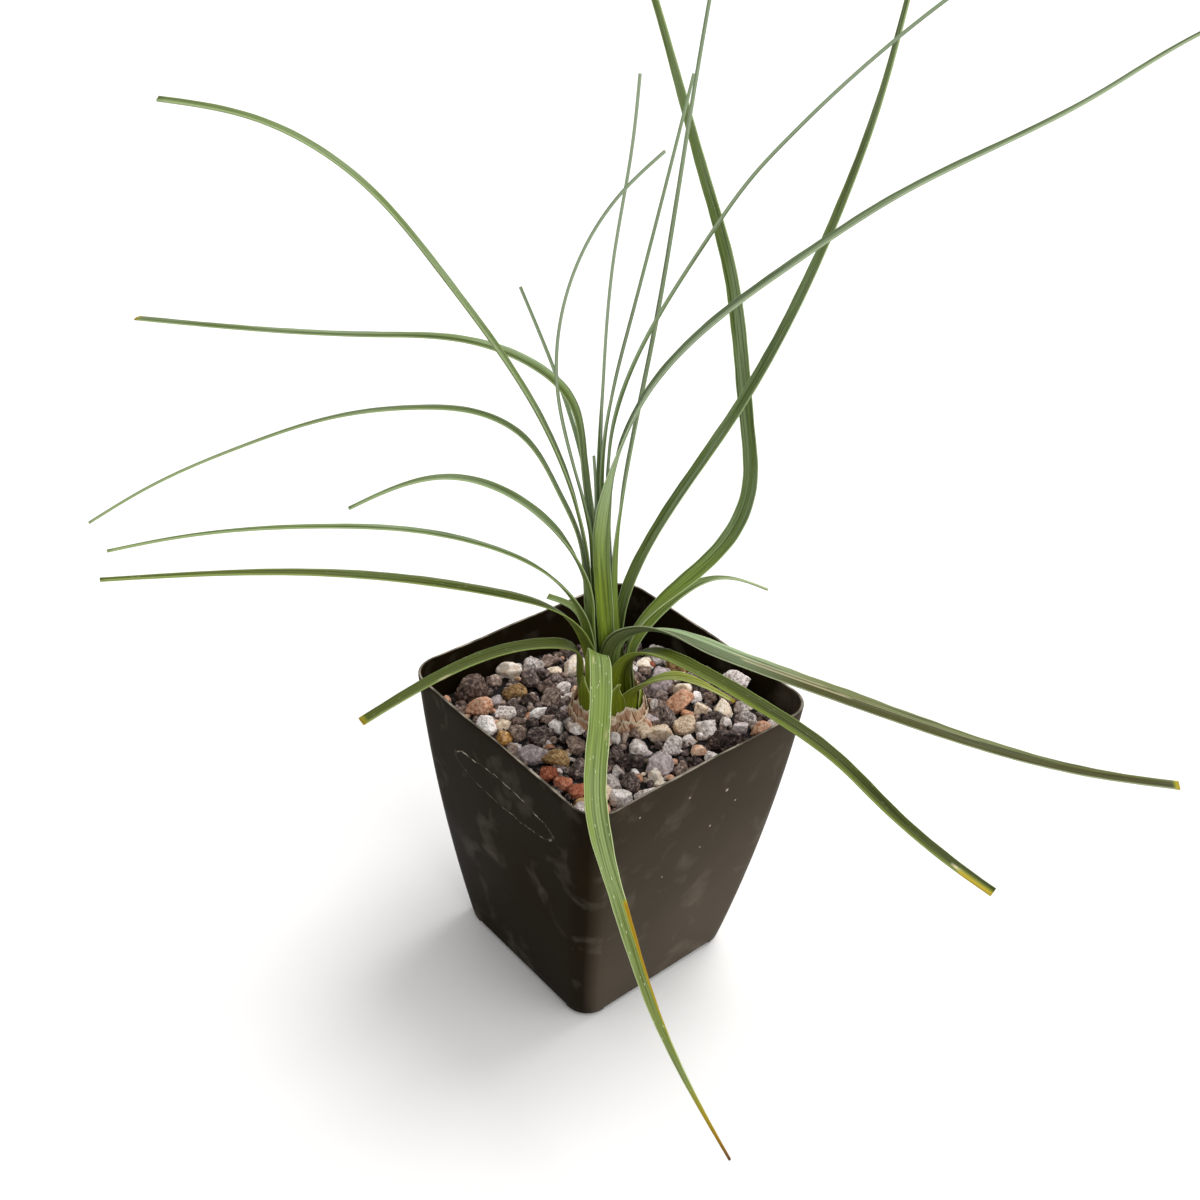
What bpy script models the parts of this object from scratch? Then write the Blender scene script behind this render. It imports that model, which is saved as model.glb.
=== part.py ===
"""Potted calibanus: a seedling with a swollen base and long grass-like leaves, standing in gravel
in a square 3-inch nursery pot.

Sizes are in millimetres and turned to metres where a mesh is made. The origin is on the ground
under the middle of the pot, whose walls face the X and Y axes, and +Z is up. The caudex stands on
the Z axis. A leaf starts on the caudex's crown in a slot: a ring around the bundle and an angle.
It then follows its route, whose points are the distance out from the slot along the leaf's
heading, the distance aside to the left of that heading, and the height above the ground.
"""

import math
import random
from collections import namedtuple

import bmesh
import bpy
import numpy as np

MM = 0.001
CLEARANCE = 0.3            # between pieces that rest on each other

# Pot: outside half width and corner radius at the rim and at the foot
POT_HEIGHT = 86
RIM_HALF = 38
FOOT_HALF = 27
RIM_CORNER = 8
FOOT_CORNER = 7
WALL_BULGE = 0.45          # 0 is a straight taper, above 0 the walls swell outwards
WALL = 0.9
FLOOR_TOP = 3.2
FOOT_FILLET = 2
FOOT_GAP = 2               # height of the channels between the four feet and the middle pad
FOOT_START = 20            # the corner feet lie outside this half width
PAD_HALF = 12
DRAIN_RADIUS = 3.5
DRAIN_REACH = 19.5

# Gravel bed: height of the bed under its stones in the middle, how it slopes, and its hollow by one corner
BED_HEIGHT = 74.8
BED_SLOPE_X = 0.042
BED_SLOPE_Y = -0.023
HOLLOW_PLACE = (34, 34)
HOLLOW_DEPTH = 8.5
HOLLOW_REACH = 15.5
BED_RINGS = 5
BED_STEPS = 7              # along each side
STONE_SEED = 11
STONE_RADII = (1.9, 4.0)
STONE_SLIMNESS = (0.6, 1.0)
STONE_SPACING = 0.86       # centre distance over the sum of two stones' radii
STONE_TRIES = 9000
STONE_POINTS = 9

# Stones that stand out in the top layer. slim is width over length, and turn the way of the length.
Stone = namedtuple("Stone", "x y radius slim turn rise", defaults=(0,))
BIG_STONES = [
    Stone(-21, 31, 4.6, 0.7, -30), Stone(-24, 24, 3.5, 0.6, -10), Stone(-20, 18.5, 2.5, 0.85, 0),
    Stone(-27, 17.5, 2.8, 0.85, 60), Stone(-26.5, 11, 2.2, 0.95, 0), Stone(-20, 13, 2.2, 0.8, 80),
    Stone(-7, 15.5, 3.3, 0.75, -70), Stone(-1, 31.5, 3.3, 0.8, 20), Stone(8, 24.5, 3.3, 0.9, 0),
    Stone(-6, 26, 3.2, 0.8, 50), Stone(-13, 24, 3.1, 0.8, -20), Stone(-13, 13, 2.2, 0.8, 0),
    Stone(-19, 5, 4, 0.5, 10), Stone(-25, 0, 3.6, 0.55, -30), Stone(-21, -5, 3.4, 0.75, -40),
    Stone(-27, -8, 2.4, 0.9, 0), Stone(-26, -13, 2.2, 0.9, 0), Stone(-25, -18, 2.9, 0.8, -60),
    Stone(-29, -23.5, 2.4, 0.8, -30), Stone(-19, -11, 2.7, 0.85, 20), Stone(-17, -21, 2.6, 0.9, 0),
    Stone(-18, -27, 3, 0.8, -40), Stone(-13, -24, 2.6, 0.85, 30), Stone(-13, -29.5, 2.5, 0.75, -20),
    Stone(-7.5, -30, 2.1, 0.75, -30), Stone(-3, -23, 3.2, 0.85, -40), Stone(-8, -18, 3, 0.8, 0),
    Stone(0, -28, 2.4, 0.6, 50), Stone(9.5, -30, 2, 0.9, 60), Stone(8.5, -25.5, 2.1, 0.9, 0),
    Stone(4, -20.5, 3.1, 0.85, 10), Stone(5, -15, 3.6, 0.6, -30), Stone(10.5, -10.5, 3.4, 0.85, 0),
    Stone(18, -8, 3.6, 0.8, -30), Stone(13, -15.5, 2.8, 0.85, 0), Stone(16, -20.5, 2.9, 0.9, 20),
    Stone(16, -28, 4.9, 0.42, -30), Stone(23, -26, 2.6, 0.85, 0), Stone(26.5, -30, 2.7, 0.7, -20),
    Stone(28, -24.5, 2.5, 0.9, 0), Stone(25.5, -17.5, 2.8, 0.8, 30), Stone(21, -13.5, 2.2, 0.85, 0),
    Stone(16, -2, 2.9, 0.8, 40), Stone(31, -15.5, 3.3, 0.9, 0), Stone(31.5, -15, 3.7, 0.8, -20, 3.8),
]

# Caudex: (radius, height) from its buried foot up to the rim of the papery collar
CAUDEX_PROFILE = [(3.5, 50.2), (7.5, 53), (10.2, 59), (11, 66), (10.6, 73), (10.1, 78)]
COLLAR_TOP = 82
COLLAR_OUTER = 9.9
COLLAR_INNER = 9.1
COLLAR_RAGGED = 1.2
CROWN_HEIGHT = 79.7
POCKET_TOP = 92

# Leaf bundle
LEAF_BASE = CROWN_HEIGHT + CLEARANCE
INNER_RING = 1.45
RING_STEP = 1.05
LEAN = 0.095               # how far the bundle leans for each mm of height
LEAN_HEADING = 138
BLADE = 0.65               # thickness
STRAIGHT_END = 10          # length below the parting point that is still held straight
FREE_SPAN = 34             # a leaf turns and opens out over this length after it parts from the bundle
CHANNEL_CURVE = 1 / 7      # across the open blade
STATION_STEP = 10          # between the sections of a straight blade
BEND_LENGTH = 24           # a bend of one radian counts as this much more length

# Each leaf stands in its slot up to its route's first point, where it parts from the bundle.
# sheath, width and tip are its widths there, along the blade and at its end; twist turns the blade;
# fold is the share of its width that turns under halfway along.
Leaf = namedtuple("Leaf", "name ring slot heading sheath width tip twist route fold", defaults=(0,))
LEAVES = [
    Leaf("leaf_left_topmost", 3, 153, 143, 3.4, 4.6, 3, 0,
         [(0, 0, 122), (1, 0, 134), (9, 0, 163), (28, 0, 197), (43, 0, 217), (63, 0, 229), (81, 0, 232)]),
    Leaf("leaf_left_high", 2, 108, 118, 3, 4.2, 3, 0,
         [(0, 0, 130), (1, 0, 151), (4, 0, 167), (13, 0, 173), (34, 0, 175), (52, 0, 172), (124, 0, 162)]),
    Leaf("leaf_left_arched", 4, 129, 130, 3.4, 3.4, 1, 5,
         [(0, 0, 112), (1, 0, 131), (5, 0, 142), (13, 0, 156), (21, 0, 160), (37, 0, 160), (58, 0, 155),
          (81, 0, 145), (112, 0, 128), (131, 0, 115)]),
    Leaf("leaf_left_short", 4, 179, 146, 3.4, 4.2, 1, -5,
         [(0, 0, 108), (0, 0, 116), (31, 0, 149), (55, 0, 141)]),
    Leaf("leaf_left_middle", 5, 183, 153, 4.2, 3.6, 1, 0,
         [(0, 0, 98), (1, 0, 109), (9, 0, 123), (22, 0, 132), (43, 0, 139), (58, 0, 141), (94, 0, 141),
          (108, 0, 139)]),
    Leaf("leaf_left_low", 6, 193, 161, 4.6, 4, 1.2, 0,
         [(0, 0, 97), (5, 0, 111), (22, 0, 122), (66, 0, 136), (109, 0, 142)]),
    Leaf("leaf_left_front", 7, 161, 173, 4.8, 4.2, 3, 8,
         [(0, 0, 92), (0, 0, 98), (7, 0, 103), (60, 0, 99)]),
    Leaf("leaf_left_stub", 5, 108, 123, 3.4, 3.4, 2.4, 0,
         [(0, 0, 97), (3, 0, 107), (10, 0, 109)]),
    Leaf("leaf_thin_left", 3, 73, 88, 1.6, 1.4, 0.8, 0,
         [(0, 0, 124), (3, 0, 148), (24, 0, 185)]),
    Leaf("leaf_thin_bowed", 2, 178, 133, 1.6, 1.6, 0.8, 0,
         [(0, 0, 129), (6, 0, 171), (-11, 0, 217), (-20, 0, 226)]),
    Leaf("leaf_right_low", 6, -97, -77, 7, 5.2, 3.4, -5,
         [(0, 0, 93), (6, 0, 103), (21, 0, 106), (40, 0, 104), (64, 0, 98), (73, 0, 93), (95, 0, 84),
          (103, 0, 82)]),
    Leaf("leaf_right_lowest", 7, -82, -62, 7.5, 4.4, 1, 0,
         [(0, 0, 86), (3.5, 0, 91), (12, 0, 96.5), (28, 0, 94)]),
    Leaf("leaf_right_broad", 5, -122, -50, 5.4, 6.6, 3.2, 0,
         [(0, 0, 98), (2, 0, 104), (11, 0, 109), (22, 0, 107), (57, 0, 97), (80, 0, 91), (122, 0, 84),
          (142, 0, 84)]),
    Leaf("leaf_right_stub", 6, -14, 8, 4.6, 3.4, 1, 0,
         [(0, 0, 93), (15, 0, 102), (29, 0, 103), (60, 0, 87)]),
    Leaf("leaf_right_curled", 5, -42, 0, 5, 4.6, 1.4, 15,
         [(0, 0, 97), (37, 0, 119), (43, 0, 128), (43, 0, 148), (36, 0, 193), (29, 0, 213), (17, 0, 247),
          (5, 0, 278)]),
    Leaf("leaf_right_high", 4, -2, -22, 4, 4.8, 1.4, 0,
         [(0, 0, 102), (10, 0, 128), (32, 0, 159), (59, 0, 211), (67, 0, 234), (71, 0, 250), (78, 0, 280)]),
    Leaf("leaf_centre_broad", 4, -127, -37, 4.4, 4.6, 1.2, 0,
         [(0, 0, 128), (4, 0, 152), (13, 0, 172), (47, 0, 204), (67, 0, 218), (107, 0, 240),
          (122, 0, 250), (150, 0, 264)]),
    Leaf("leaf_thin_right", 2, -12, -52, 1.7, 1.8, 0.9, -20,
         [(0, 0, 135), (2, 0, 159), (25, 0, 208), (35, 0, 223), (40, 0, 229), (70, 0, 259), (90, 0, 275)]),
    Leaf("leaf_upright_broad", 3, -72, -22, 3.2, 3.3, 1.2, -12,
         [(0, 0, 116), (12, 0, 182), (25, 0, 248), (34, 0, 288)]),
    Leaf("leaf_thin_leaning", 1, -82, -12, 1.4, 1.6, 0.8, -20,
         [(0, 0, 145), (5, 0, 172), (9, 0, 184), (27, 0, 238)]),
    Leaf("leaf_thin_upright", 1, 38, -42, 1.4, 1.4, 0.8, 0,
         [(0, 0, 140), (2, 0, 168), (6, 0, 201), (11, 0, 226), (13, 0, 240)]),
    Leaf("leaf_young", 1, 158, 138, 1.4, 1.4, 0.8, 0,
         [(0, 0, 124), (-1, 0, 144), (-1, 0, 153)]),
    Leaf("leaf_front", 7, -155, -132, 5.6, 5.7, 1, 0,
         [(0, 0, 95), (2, 1, 102), (8, 2, 105), (17, 2.5, 102.5), (29, 2, 97), (43, 1.5, 90),
          (60, 6.5, 76), (72, 14.3, 53), (78, 22.3, 34), (81, 31, 14)], 0.3),
]


def clear_scene():
    """Removes what is in the file before the model is made."""
    for leftover in list(bpy.data.objects):
        bpy.data.objects.remove(leftover, do_unlink=True)


def material(name, color, roughness, metallic=0.0):
    """A plain Principled material with its main values."""
    made = bpy.data.materials.new(name)
    made.use_nodes = True
    shader = made.node_tree.nodes["Principled BSDF"]
    shader.inputs["Base Color"].default_value = (*color, 1)
    shader.inputs["Roughness"].default_value = roughness
    shader.inputs["Metallic"].default_value = metallic
    return made


def add_object(name, points, faces, finish=None):
    """An object from points in millimetres, with its faces turned outwards."""
    mesh = bpy.data.meshes.new(name)
    mesh.from_pydata([[value * MM for value in point] for point in points], [], faces)
    shape = bmesh.new()
    shape.from_mesh(mesh)
    bmesh.ops.recalc_face_normals(shape, faces=shape.faces)
    shape.to_mesh(mesh)
    shape.free()
    made = bpy.data.objects.new(name, mesh)
    bpy.context.collection.objects.link(made)
    if finish:
        mesh.materials.append(finish)
    return made


def loft(loops):
    """Points and faces of a closed body through loops of equal count, with its two ends capped."""
    count = len(loops[0])
    points = [point for loop in loops for point in loop]
    faces = [list(range(count))[::-1]]
    for row in range(len(loops) - 1):
        start = row * count
        for k in range(count):
            after = (k + 1) % count
            faces.append([start + k, start + after, start + count + after, start + count + k])
    faces.append(list(range(len(points) - count, len(points))))
    return points, faces


def make_cutter(cutter):
    """Marks an object as a tool that only cuts others."""
    cutter.hide_render = True
    cutter.display_type = "WIRE"
    return cutter


def cut(body, cutter):
    """Subtracts a cutter from a body."""
    modifier = body.modifiers.new(cutter.name, "BOOLEAN")
    modifier.operation = "DIFFERENCE"
    modifier.object = cutter
    modifier.solver = "EXACT"


def direction(degrees):
    """Unit vector in the ground plane."""
    angle = math.radians(degrees)
    return np.array([math.cos(angle), math.sin(angle), 0.0])


def ease(value, start, end):
    """0 before start, 1 after end, and a smooth step between them."""
    part = min(max((value - start) / (end - start), 0.0), 1.0)
    return part * part * (3 - 2 * part)


# Pot

def wall_half(height):
    """Outside half width of the pot at a height."""
    drop = 1 - height / POT_HEIGHT
    return RIM_HALF - (RIM_HALF - FOOT_HALF) * (drop + WALL_BULGE * (drop * drop - drop))


def wall_corner(height):
    """Outside corner radius of the pot at a height."""
    return RIM_CORNER + (FOOT_CORNER - RIM_CORNER) * (1 - height / POT_HEIGHT)


def square_loop(half, corner, height, side_steps, steps=6):
    """Loop of a square with round corners, counter-clockwise from above."""
    loop = []
    for quarter in range(4):
        middle = 45 + 90 * quarter
        center = direction(middle) * (half - corner) * math.sqrt(2)
        loop += [center + direction(middle - 45 + 90 * k / steps) * corner for k in range(steps + 1)]
        side = direction(middle + 135) * 2 * (half - corner)
        loop += [loop[-1] + side * k / side_steps for k in range(1, side_steps)]
    return [(x, y, height) for x, y, _ in loop]


def wall_loop(height, inset, side_steps=1):
    """Loop of the pot's wall at a height, moved inwards."""
    return square_loop(wall_half(height) - inset, wall_corner(height) - inset, height, side_steps)


def channel_cutter():
    """The channels between the corner feet and the middle pad, as one slab with a hole."""
    lines = [-RIM_HALF, -FOOT_START, -PAD_HALF, PAD_HALF, FOOT_START, RIM_HALF]
    slab = bmesh.new()
    corners = [[slab.verts.new((x * MM, y * MM, -FOOT_GAP * MM)) for x in lines] for y in lines]
    middle, ends = 2, (0, 4)
    for row in range(5):
        for column in range(5):
            is_foot = row in ends and column in ends
            is_pad = row == middle and column == middle
            if not is_foot and not is_pad:
                slab.faces.new([corners[row][column], corners[row][column + 1],
                                corners[row + 1][column + 1], corners[row + 1][column]])
    bmesh.ops.delete(slab, geom=[vert for vert in slab.verts if not vert.link_faces], context="VERTS")
    raised = bmesh.ops.extrude_face_region(slab, geom=slab.faces[:])["geom"]
    for part in raised:
        if isinstance(part, bmesh.types.BMVert):
            part.co.z = FOOT_GAP * MM
    bmesh.ops.recalc_face_normals(slab, faces=slab.faces)
    mesh = bpy.data.meshes.new("foot_channels")
    slab.to_mesh(mesh)
    slab.free()
    cutter = bpy.data.objects.new("foot_channels", mesh)
    bpy.context.collection.objects.link(cutter)
    return make_cutter(cutter)


def drain_cutter():
    """Four upright pins that bore the drain holes."""
    pins = bmesh.new()
    for turn in range(4):
        pin = bmesh.ops.create_cone(pins, cap_ends=True, segments=16, radius1=DRAIN_RADIUS * MM,
                                    radius2=DRAIN_RADIUS * MM, depth=4 * FLOOR_TOP * MM)
        place = direction(90 * turn) * DRAIN_REACH * MM
        bmesh.ops.translate(pins, verts=pin["verts"], vec=place)
    mesh = bpy.data.meshes.new("drain_holes")
    pins.to_mesh(mesh)
    pins.free()
    cutter = bpy.data.objects.new("drain_holes", mesh)
    bpy.context.collection.objects.link(cutter)
    return make_cutter(cutter)


def build_pot(finish):
    """Thin tapered square pot on four corner feet and a middle pad."""
    loops = []
    for degrees in (0, 30, 60):
        angle = math.radians(degrees)
        inset = FOOT_FILLET * (1 - math.sin(angle))
        height = FOOT_FILLET * (1 - math.cos(angle))
        loops.append(wall_loop(height, inset))
    heights = [FOOT_FILLET + (POT_HEIGHT - FOOT_FILLET) * k / 7 for k in range(8)]
    loops += [wall_loop(height, 0) for height in heights]
    inner_heights = [FLOOR_TOP + (POT_HEIGHT - FLOOR_TOP) * k / 7 for k in range(8)]
    loops += [wall_loop(height, WALL) for height in reversed(inner_heights)]
    pot = add_object("pot", *loft(loops), finish)
    cut(pot, channel_cutter())
    cut(pot, drain_cutter())
    return pot


# Caudex and its pocket in the mix

def caudex_radius(radius, degrees, height):
    """The swollen base isn't round: three low lobes that turn with the height."""
    lobes = math.sin(math.radians(3 * degrees + 4 * height))
    return radius * (1 + 0.025 * lobes)


def ring_loop(radius, height, grow=0.0, steps=32):
    """Loop of the lobed caudex at a height, grown outwards."""
    loop = []
    for k in range(steps):
        degrees = 360 * k / steps
        x, y, _ = direction(degrees) * (caudex_radius(radius, degrees, height) + grow)
        loop.append((x, y, height))
    return loop


def ragged_loop(radius, steps=32):
    """Torn upper edge of the papery collar."""
    loop = []
    for k in range(steps):
        degrees = 360 * k / steps
        tear = math.sin(math.radians(5 * degrees)) + 0.6 * math.sin(math.radians(11 * degrees + 40))
        x, y, _ = direction(degrees) * radius
        loop.append((x, y, COLLAR_TOP + COLLAR_RAGGED * tear / 1.6))
    return loop


def build_caudex(finish):
    """Swollen base, buried up to its papery collar, with the flat crown that carries the leaves."""
    loops = [ring_loop(radius, height) for radius, height in CAUDEX_PROFILE]
    loops += [ragged_loop(COLLAR_OUTER), ragged_loop(COLLAR_INNER)]
    loops += [[(x, y, CROWN_HEIGHT) for x, y, _ in ragged_loop(COLLAR_INNER)]]
    return add_object("caudex", *loft(loops), finish)


def build_pocket():
    """The caudex's own shape, a little larger, and open upwards."""
    below = [ring_loop(radius, height, CLEARANCE) for radius, height in CAUDEX_PROFILE]
    foot_radius, foot_height = CAUDEX_PROFILE[0]
    below[0] = ring_loop(foot_radius, foot_height - CLEARANCE, CLEARANCE)
    widest = max(radius for radius, _ in CAUDEX_PROFILE)
    above = [ring_loop(widest, height, CLEARANCE) for height in (CAUDEX_PROFILE[-1][1], POCKET_TOP)]
    return make_cutter(add_object("caudex_pocket", *loft(below[:-1] + above)))


# Gravel

def bed_level(x, y):
    """Height of the bed between the stones."""
    away = math.dist((x, y), HOLLOW_PLACE) / HOLLOW_REACH
    hollow = HOLLOW_DEPTH * math.exp(-away * away / 2)
    return BED_HEIGHT + BED_SLOPE_X * x + BED_SLOPE_Y * y - hollow


def bed_loops(inset):
    """Loops of the bed's surface, from the pot's wall inwards."""
    levels = [bed_level(x, y) for x, y, _ in wall_loop(BED_HEIGHT, inset, BED_STEPS)]
    edge = [wall_loop(level, inset, BED_STEPS)[k] for k, level in enumerate(levels)]
    loops = [edge]
    for ring in range(1, BED_RINGS):
        share = 1 - ring / BED_RINGS
        loops.append([(x * share, y * share, bed_level(x * share, y * share)) for x, y, _ in edge])
    return loops


def room_to_wall(x, y, height):
    """Distance from a point inwards to the pot's inner wall at a height."""
    half, corner = wall_half(height) - WALL, wall_corner(height) - WALL
    beyond_x, beyond_y = abs(x) - (half - corner), abs(y) - (half - corner)
    outside = math.hypot(max(beyond_x, 0), max(beyond_y, 0))
    return corner - outside - min(max(beyond_x, beyond_y), 0)


def stone_places(draw):
    """The top layer of stones: the big ones first, then others packed between them, clear of the caudex."""
    places = list(BIG_STONES)
    widest = max(radius for radius, _ in CAUDEX_PROFILE)
    for _ in range(STONE_TRIES):
        x, y = (draw.uniform(-RIM_HALF, RIM_HALF) for _ in range(2))
        radius = STONE_RADII[0] + (STONE_RADII[1] - STONE_RADII[0]) * draw.random() ** 1.6
        slim = draw.uniform(*STONE_SLIMNESS)
        turn = draw.uniform(0, 360)
        if room_to_wall(x, y, bed_level(x, y)) < radius + CLEARANCE:
            continue
        if math.hypot(x, y) < widest + CLEARANCE + 0.9 * radius:
            continue
        if any(math.dist((x, y), (other.x, other.y)) < STONE_SPACING * (radius + other.radius)
               for other in places):
            continue
        places.append(Stone(x, y, radius, slim, turn))
    return places


def stone_points(draw, stone):
    """Corners of one broken stone, spread over a flattened ball that is longer one way."""
    start = draw.uniform(0, math.tau)
    flat = draw.uniform(0.62, 0.95)
    along, aside = direction(stone.turn), direction(stone.turn + 90)
    middle = np.array([stone.x, stone.y, bed_level(stone.x, stone.y) + 0.35 * stone.radius + stone.rise])
    points = []
    for k in range(STONE_POINTS):
        rise = 1 - 2 * (k + 0.5) / STONE_POINTS
        angle = start + math.pi * (3 - math.sqrt(5)) * k
        around = math.sqrt(1 - rise * rise)
        size = stone.radius * draw.uniform(0.86, 1)
        points.append(middle + along * size * around * math.cos(angle)
                      + aside * size * stone.slim * around * math.sin(angle)
                      + np.array([0, 0, size * flat * rise]))
    return points


def build_stone(name, points):
    """Convex stone around its corner points."""
    stone = bmesh.new()
    for point in points:
        stone.verts.new([value * MM for value in point])
    bmesh.ops.convex_hull(stone, input=stone.verts)
    bmesh.ops.delete(stone, geom=[vert for vert in stone.verts if not vert.link_faces], context="VERTS")
    mesh = bpy.data.meshes.new(name)
    stone.to_mesh(mesh)
    stone.free()
    return bpy.data.objects.new(name, mesh)


def build_potting_mix(finish, pocket):
    """Gritty mix that fills the pot, with its top layer of stones, and a pocket for the caudex."""
    bottom = FLOOR_TOP + CLEARANCE
    heights = [bottom + (BED_HEIGHT - HOLLOW_DEPTH - bottom) * k / 4 for k in range(4)]
    loops = [wall_loop(height, WALL + CLEARANCE, BED_STEPS) for height in heights]
    mix = add_object("potting_mix", *loft(loops + bed_loops(WALL + CLEARANCE)), finish)

    draw = random.Random(STONE_SEED)
    stones = bpy.data.collections.new("stones")
    for number, stone in enumerate(stone_places(draw)):
        stones.objects.link(build_stone(f"stone_{number}", stone_points(draw, stone)))
    union = mix.modifiers.new("stones", "BOOLEAN")
    union.operation = "UNION"
    union.operand_type = "COLLECTION"
    union.collection = stones
    union.solver = "MANIFOLD"
    bpy.context.view_layer.objects.active = mix
    bpy.ops.object.modifier_apply(modifier=union.name)
    for stone in list(stones.objects):
        bpy.data.objects.remove(stone, do_unlink=True)
    bpy.data.collections.remove(stones)
    cut(mix, pocket)
    return mix


# Leaves

def smooth_route(points, count=300):
    """Points and tangents along a natural cubic spline through the route's points."""
    knots = np.asarray(points, float)
    spans = np.linalg.norm(np.diff(knots, axis=0), axis=1)
    along = np.concatenate([[0], np.cumsum(spans)])
    last = len(knots) - 1
    system = np.eye(last + 1)
    right = np.zeros_like(knots)
    for k in range(1, last):
        system[k, k - 1:k + 2] = spans[k - 1], 2 * (spans[k - 1] + spans[k]), spans[k]
        right[k] = 6 * ((knots[k + 1] - knots[k]) / spans[k] - (knots[k] - knots[k - 1]) / spans[k - 1])
    bends = np.linalg.solve(system, right)
    at = np.linspace(0, along[-1], count)
    k = np.clip(np.searchsorted(along, at, side="right") - 1, 0, last - 1)
    before, after, span = (at - along[k])[:, None], (along[k + 1] - at)[:, None], spans[k][:, None]
    curve = (bends[k] * after ** 3 + bends[k + 1] * before ** 3) / (6 * span)
    curve += (knots[k] / span - bends[k] * span / 6) * after
    curve += (knots[k + 1] / span - bends[k + 1] * span / 6) * before
    tangents = np.gradient(curve, axis=0)
    return curve, tangents / np.linalg.norm(tangents, axis=1)[:, None]


def stations(points):
    """Places, tangents and distances along the route, closer together where it bends."""
    curve, tangents = smooth_route(points)
    steps = np.linalg.norm(np.diff(curve, axis=0), axis=1)
    bends = np.linalg.norm(np.diff(tangents, axis=0), axis=1)
    along = np.concatenate([[0], np.cumsum(steps)])
    measure = np.concatenate([[0], np.cumsum(steps + BEND_LENGTH * bends)])
    at = np.linspace(0, measure[-1], max(int(measure[-1] / STATION_STEP), 5) + 1)
    rows = np.column_stack([curve, tangents, along])
    rows = np.column_stack([np.interp(at, measure, column) for column in rows.T])
    directions = rows[:, 3:6] / np.linalg.norm(rows[:, 3:6], axis=1)[:, None]
    return rows[:, :3], directions, rows[:, 6]


def slot_radius(leaf):
    """Distance of a leaf's slot from the middle of the bundle."""
    return INNER_RING + RING_STEP * (leaf.ring - 1)


def stem_points(leaf):
    """The straight start of a leaf, inside the bundle."""
    parting = leaf.route[0][2]
    return [(0, 0, LEAF_BASE), (0, 0, parting - min(STRAIGHT_END, (parting - LEAF_BASE) / 2))]


def leaf_world(leaf):
    """The leaf's points in the ground frame: slot, lean of the bundle, reach, aside and height."""
    slot = direction(leaf.slot) * slot_radius(leaf)
    out, left = direction(leaf.heading), direction(leaf.heading + 90)
    placed = []
    for reach, aside, height in stem_points(leaf) + leaf.route:
        leaned = slot + direction(LEAN_HEADING) * LEAN * (height - LEAF_BASE)
        placed.append(leaned + out * reach + left * aside + np.array([0, 0, height]))
    return placed


def blade_width(leaf, along, length, free):
    """Width of the blade: broad clasping base, even blade, and a taper to the tip."""
    base = leaf.sheath + (leaf.width - leaf.sheath) * free
    taper = ease(along, 0.45 * length, 1.02 * length)
    folded = 1 - leaf.fold * ease(along, 0.42 * length, 0.55 * length)
    return (base + (leaf.tip - base) * taper) * folded


def leaf_sections(leaf, across):
    """Rows of outer and inner points across the blade, from its base to its tip."""
    curve, tangents, distances = stations(leaf_world(leaf))
    length = distances[-1]
    turn = (leaf.slot - leaf.heading + 180) % 360 - 180
    parting = leaf.route[0][2] - LEAF_BASE
    sections = []
    for k, along in enumerate(distances):
        free = ease(along, parting, min(parting + FREE_SPAN, 0.9 * length))
        roll = math.radians(turn + (leaf.twist - turn) * free)
        side = direction(leaf.heading + 90)
        side = side - tangents[k] * side.dot(tangents[k])
        side /= np.linalg.norm(side)
        back = np.cross(side, tangents[k])
        width_way = side * math.cos(roll) - back * math.sin(roll)
        back_way = back * math.cos(roll) + side * math.sin(roll)
        curl = 1 / slot_radius(leaf) + (CHANNEL_CURVE - 1 / slot_radius(leaf)) * free
        width = blade_width(leaf, along, length, free)
        rows = []
        for j in range(across + 1):
            bow = (j / across - 0.5) * width * curl
            radial = back_way * math.cos(bow) + width_way * math.sin(bow)
            middle = curve[k] - back_way / curl + radial / curl
            rows.append((middle + radial * BLADE / 2, middle - radial * BLADE / 2))
        sections.append(rows)
    for pair in sections[0]:
        for point in pair:
            point[2] = LEAF_BASE
    return sections


def build_leaf(leaf, finish):
    """One blade with triangles split alike on its two faces."""
    across = 3 if leaf.width > 2 else 2
    sections = leaf_sections(leaf, across)
    count = len(sections)
    points = [point for rows in sections for pair in rows for point in pair]
    per_row = 2 * (across + 1)

    def index(station, j, inner):
        return station * per_row + 2 * j + inner

    faces = []
    for k in range(count - 1):
        for j in range(across):
            for inner in (0, 1):
                here = [index(k, j, inner), index(k, j + 1, inner)]
                there = [index(k + 1, j, inner), index(k + 1, j + 1, inner)]
                faces += [[here[0], here[1], there[1]], [here[0], there[1], there[0]]]
        for j in (0, across):
            faces.append([index(k, j, 0), index(k, j, 1), index(k + 1, j, 1), index(k + 1, j, 0)])
    for k in (0, count - 1):
        for j in range(across):
            faces.append([index(k, j, 0), index(k, j + 1, 0), index(k, j + 1, 1), index(k, j, 1)])
    return add_object(leaf.name, points, faces, finish)


def build():
    """The whole potted plant."""
    clear_scene()
    build_pot(material("pot_plastic", (0.045, 0.04, 0.03), 0.45))
    pocket = build_pocket()
    build_potting_mix(material("gravel", (0.19, 0.14, 0.12), 0.95), pocket)
    build_caudex(material("papery_sheath", (0.55, 0.34, 0.18), 0.8))
    leaf_green = material("leaf_green", (0.2, 0.32, 0.09), 0.5)
    for leaf in LEAVES:
        build_leaf(leaf, leaf_green)


build()
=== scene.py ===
import math
import random
from collections import namedtuple
from functools import partial

import bmesh
import bpy
import numpy as np
from mathutils import Matrix, Vector


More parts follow.
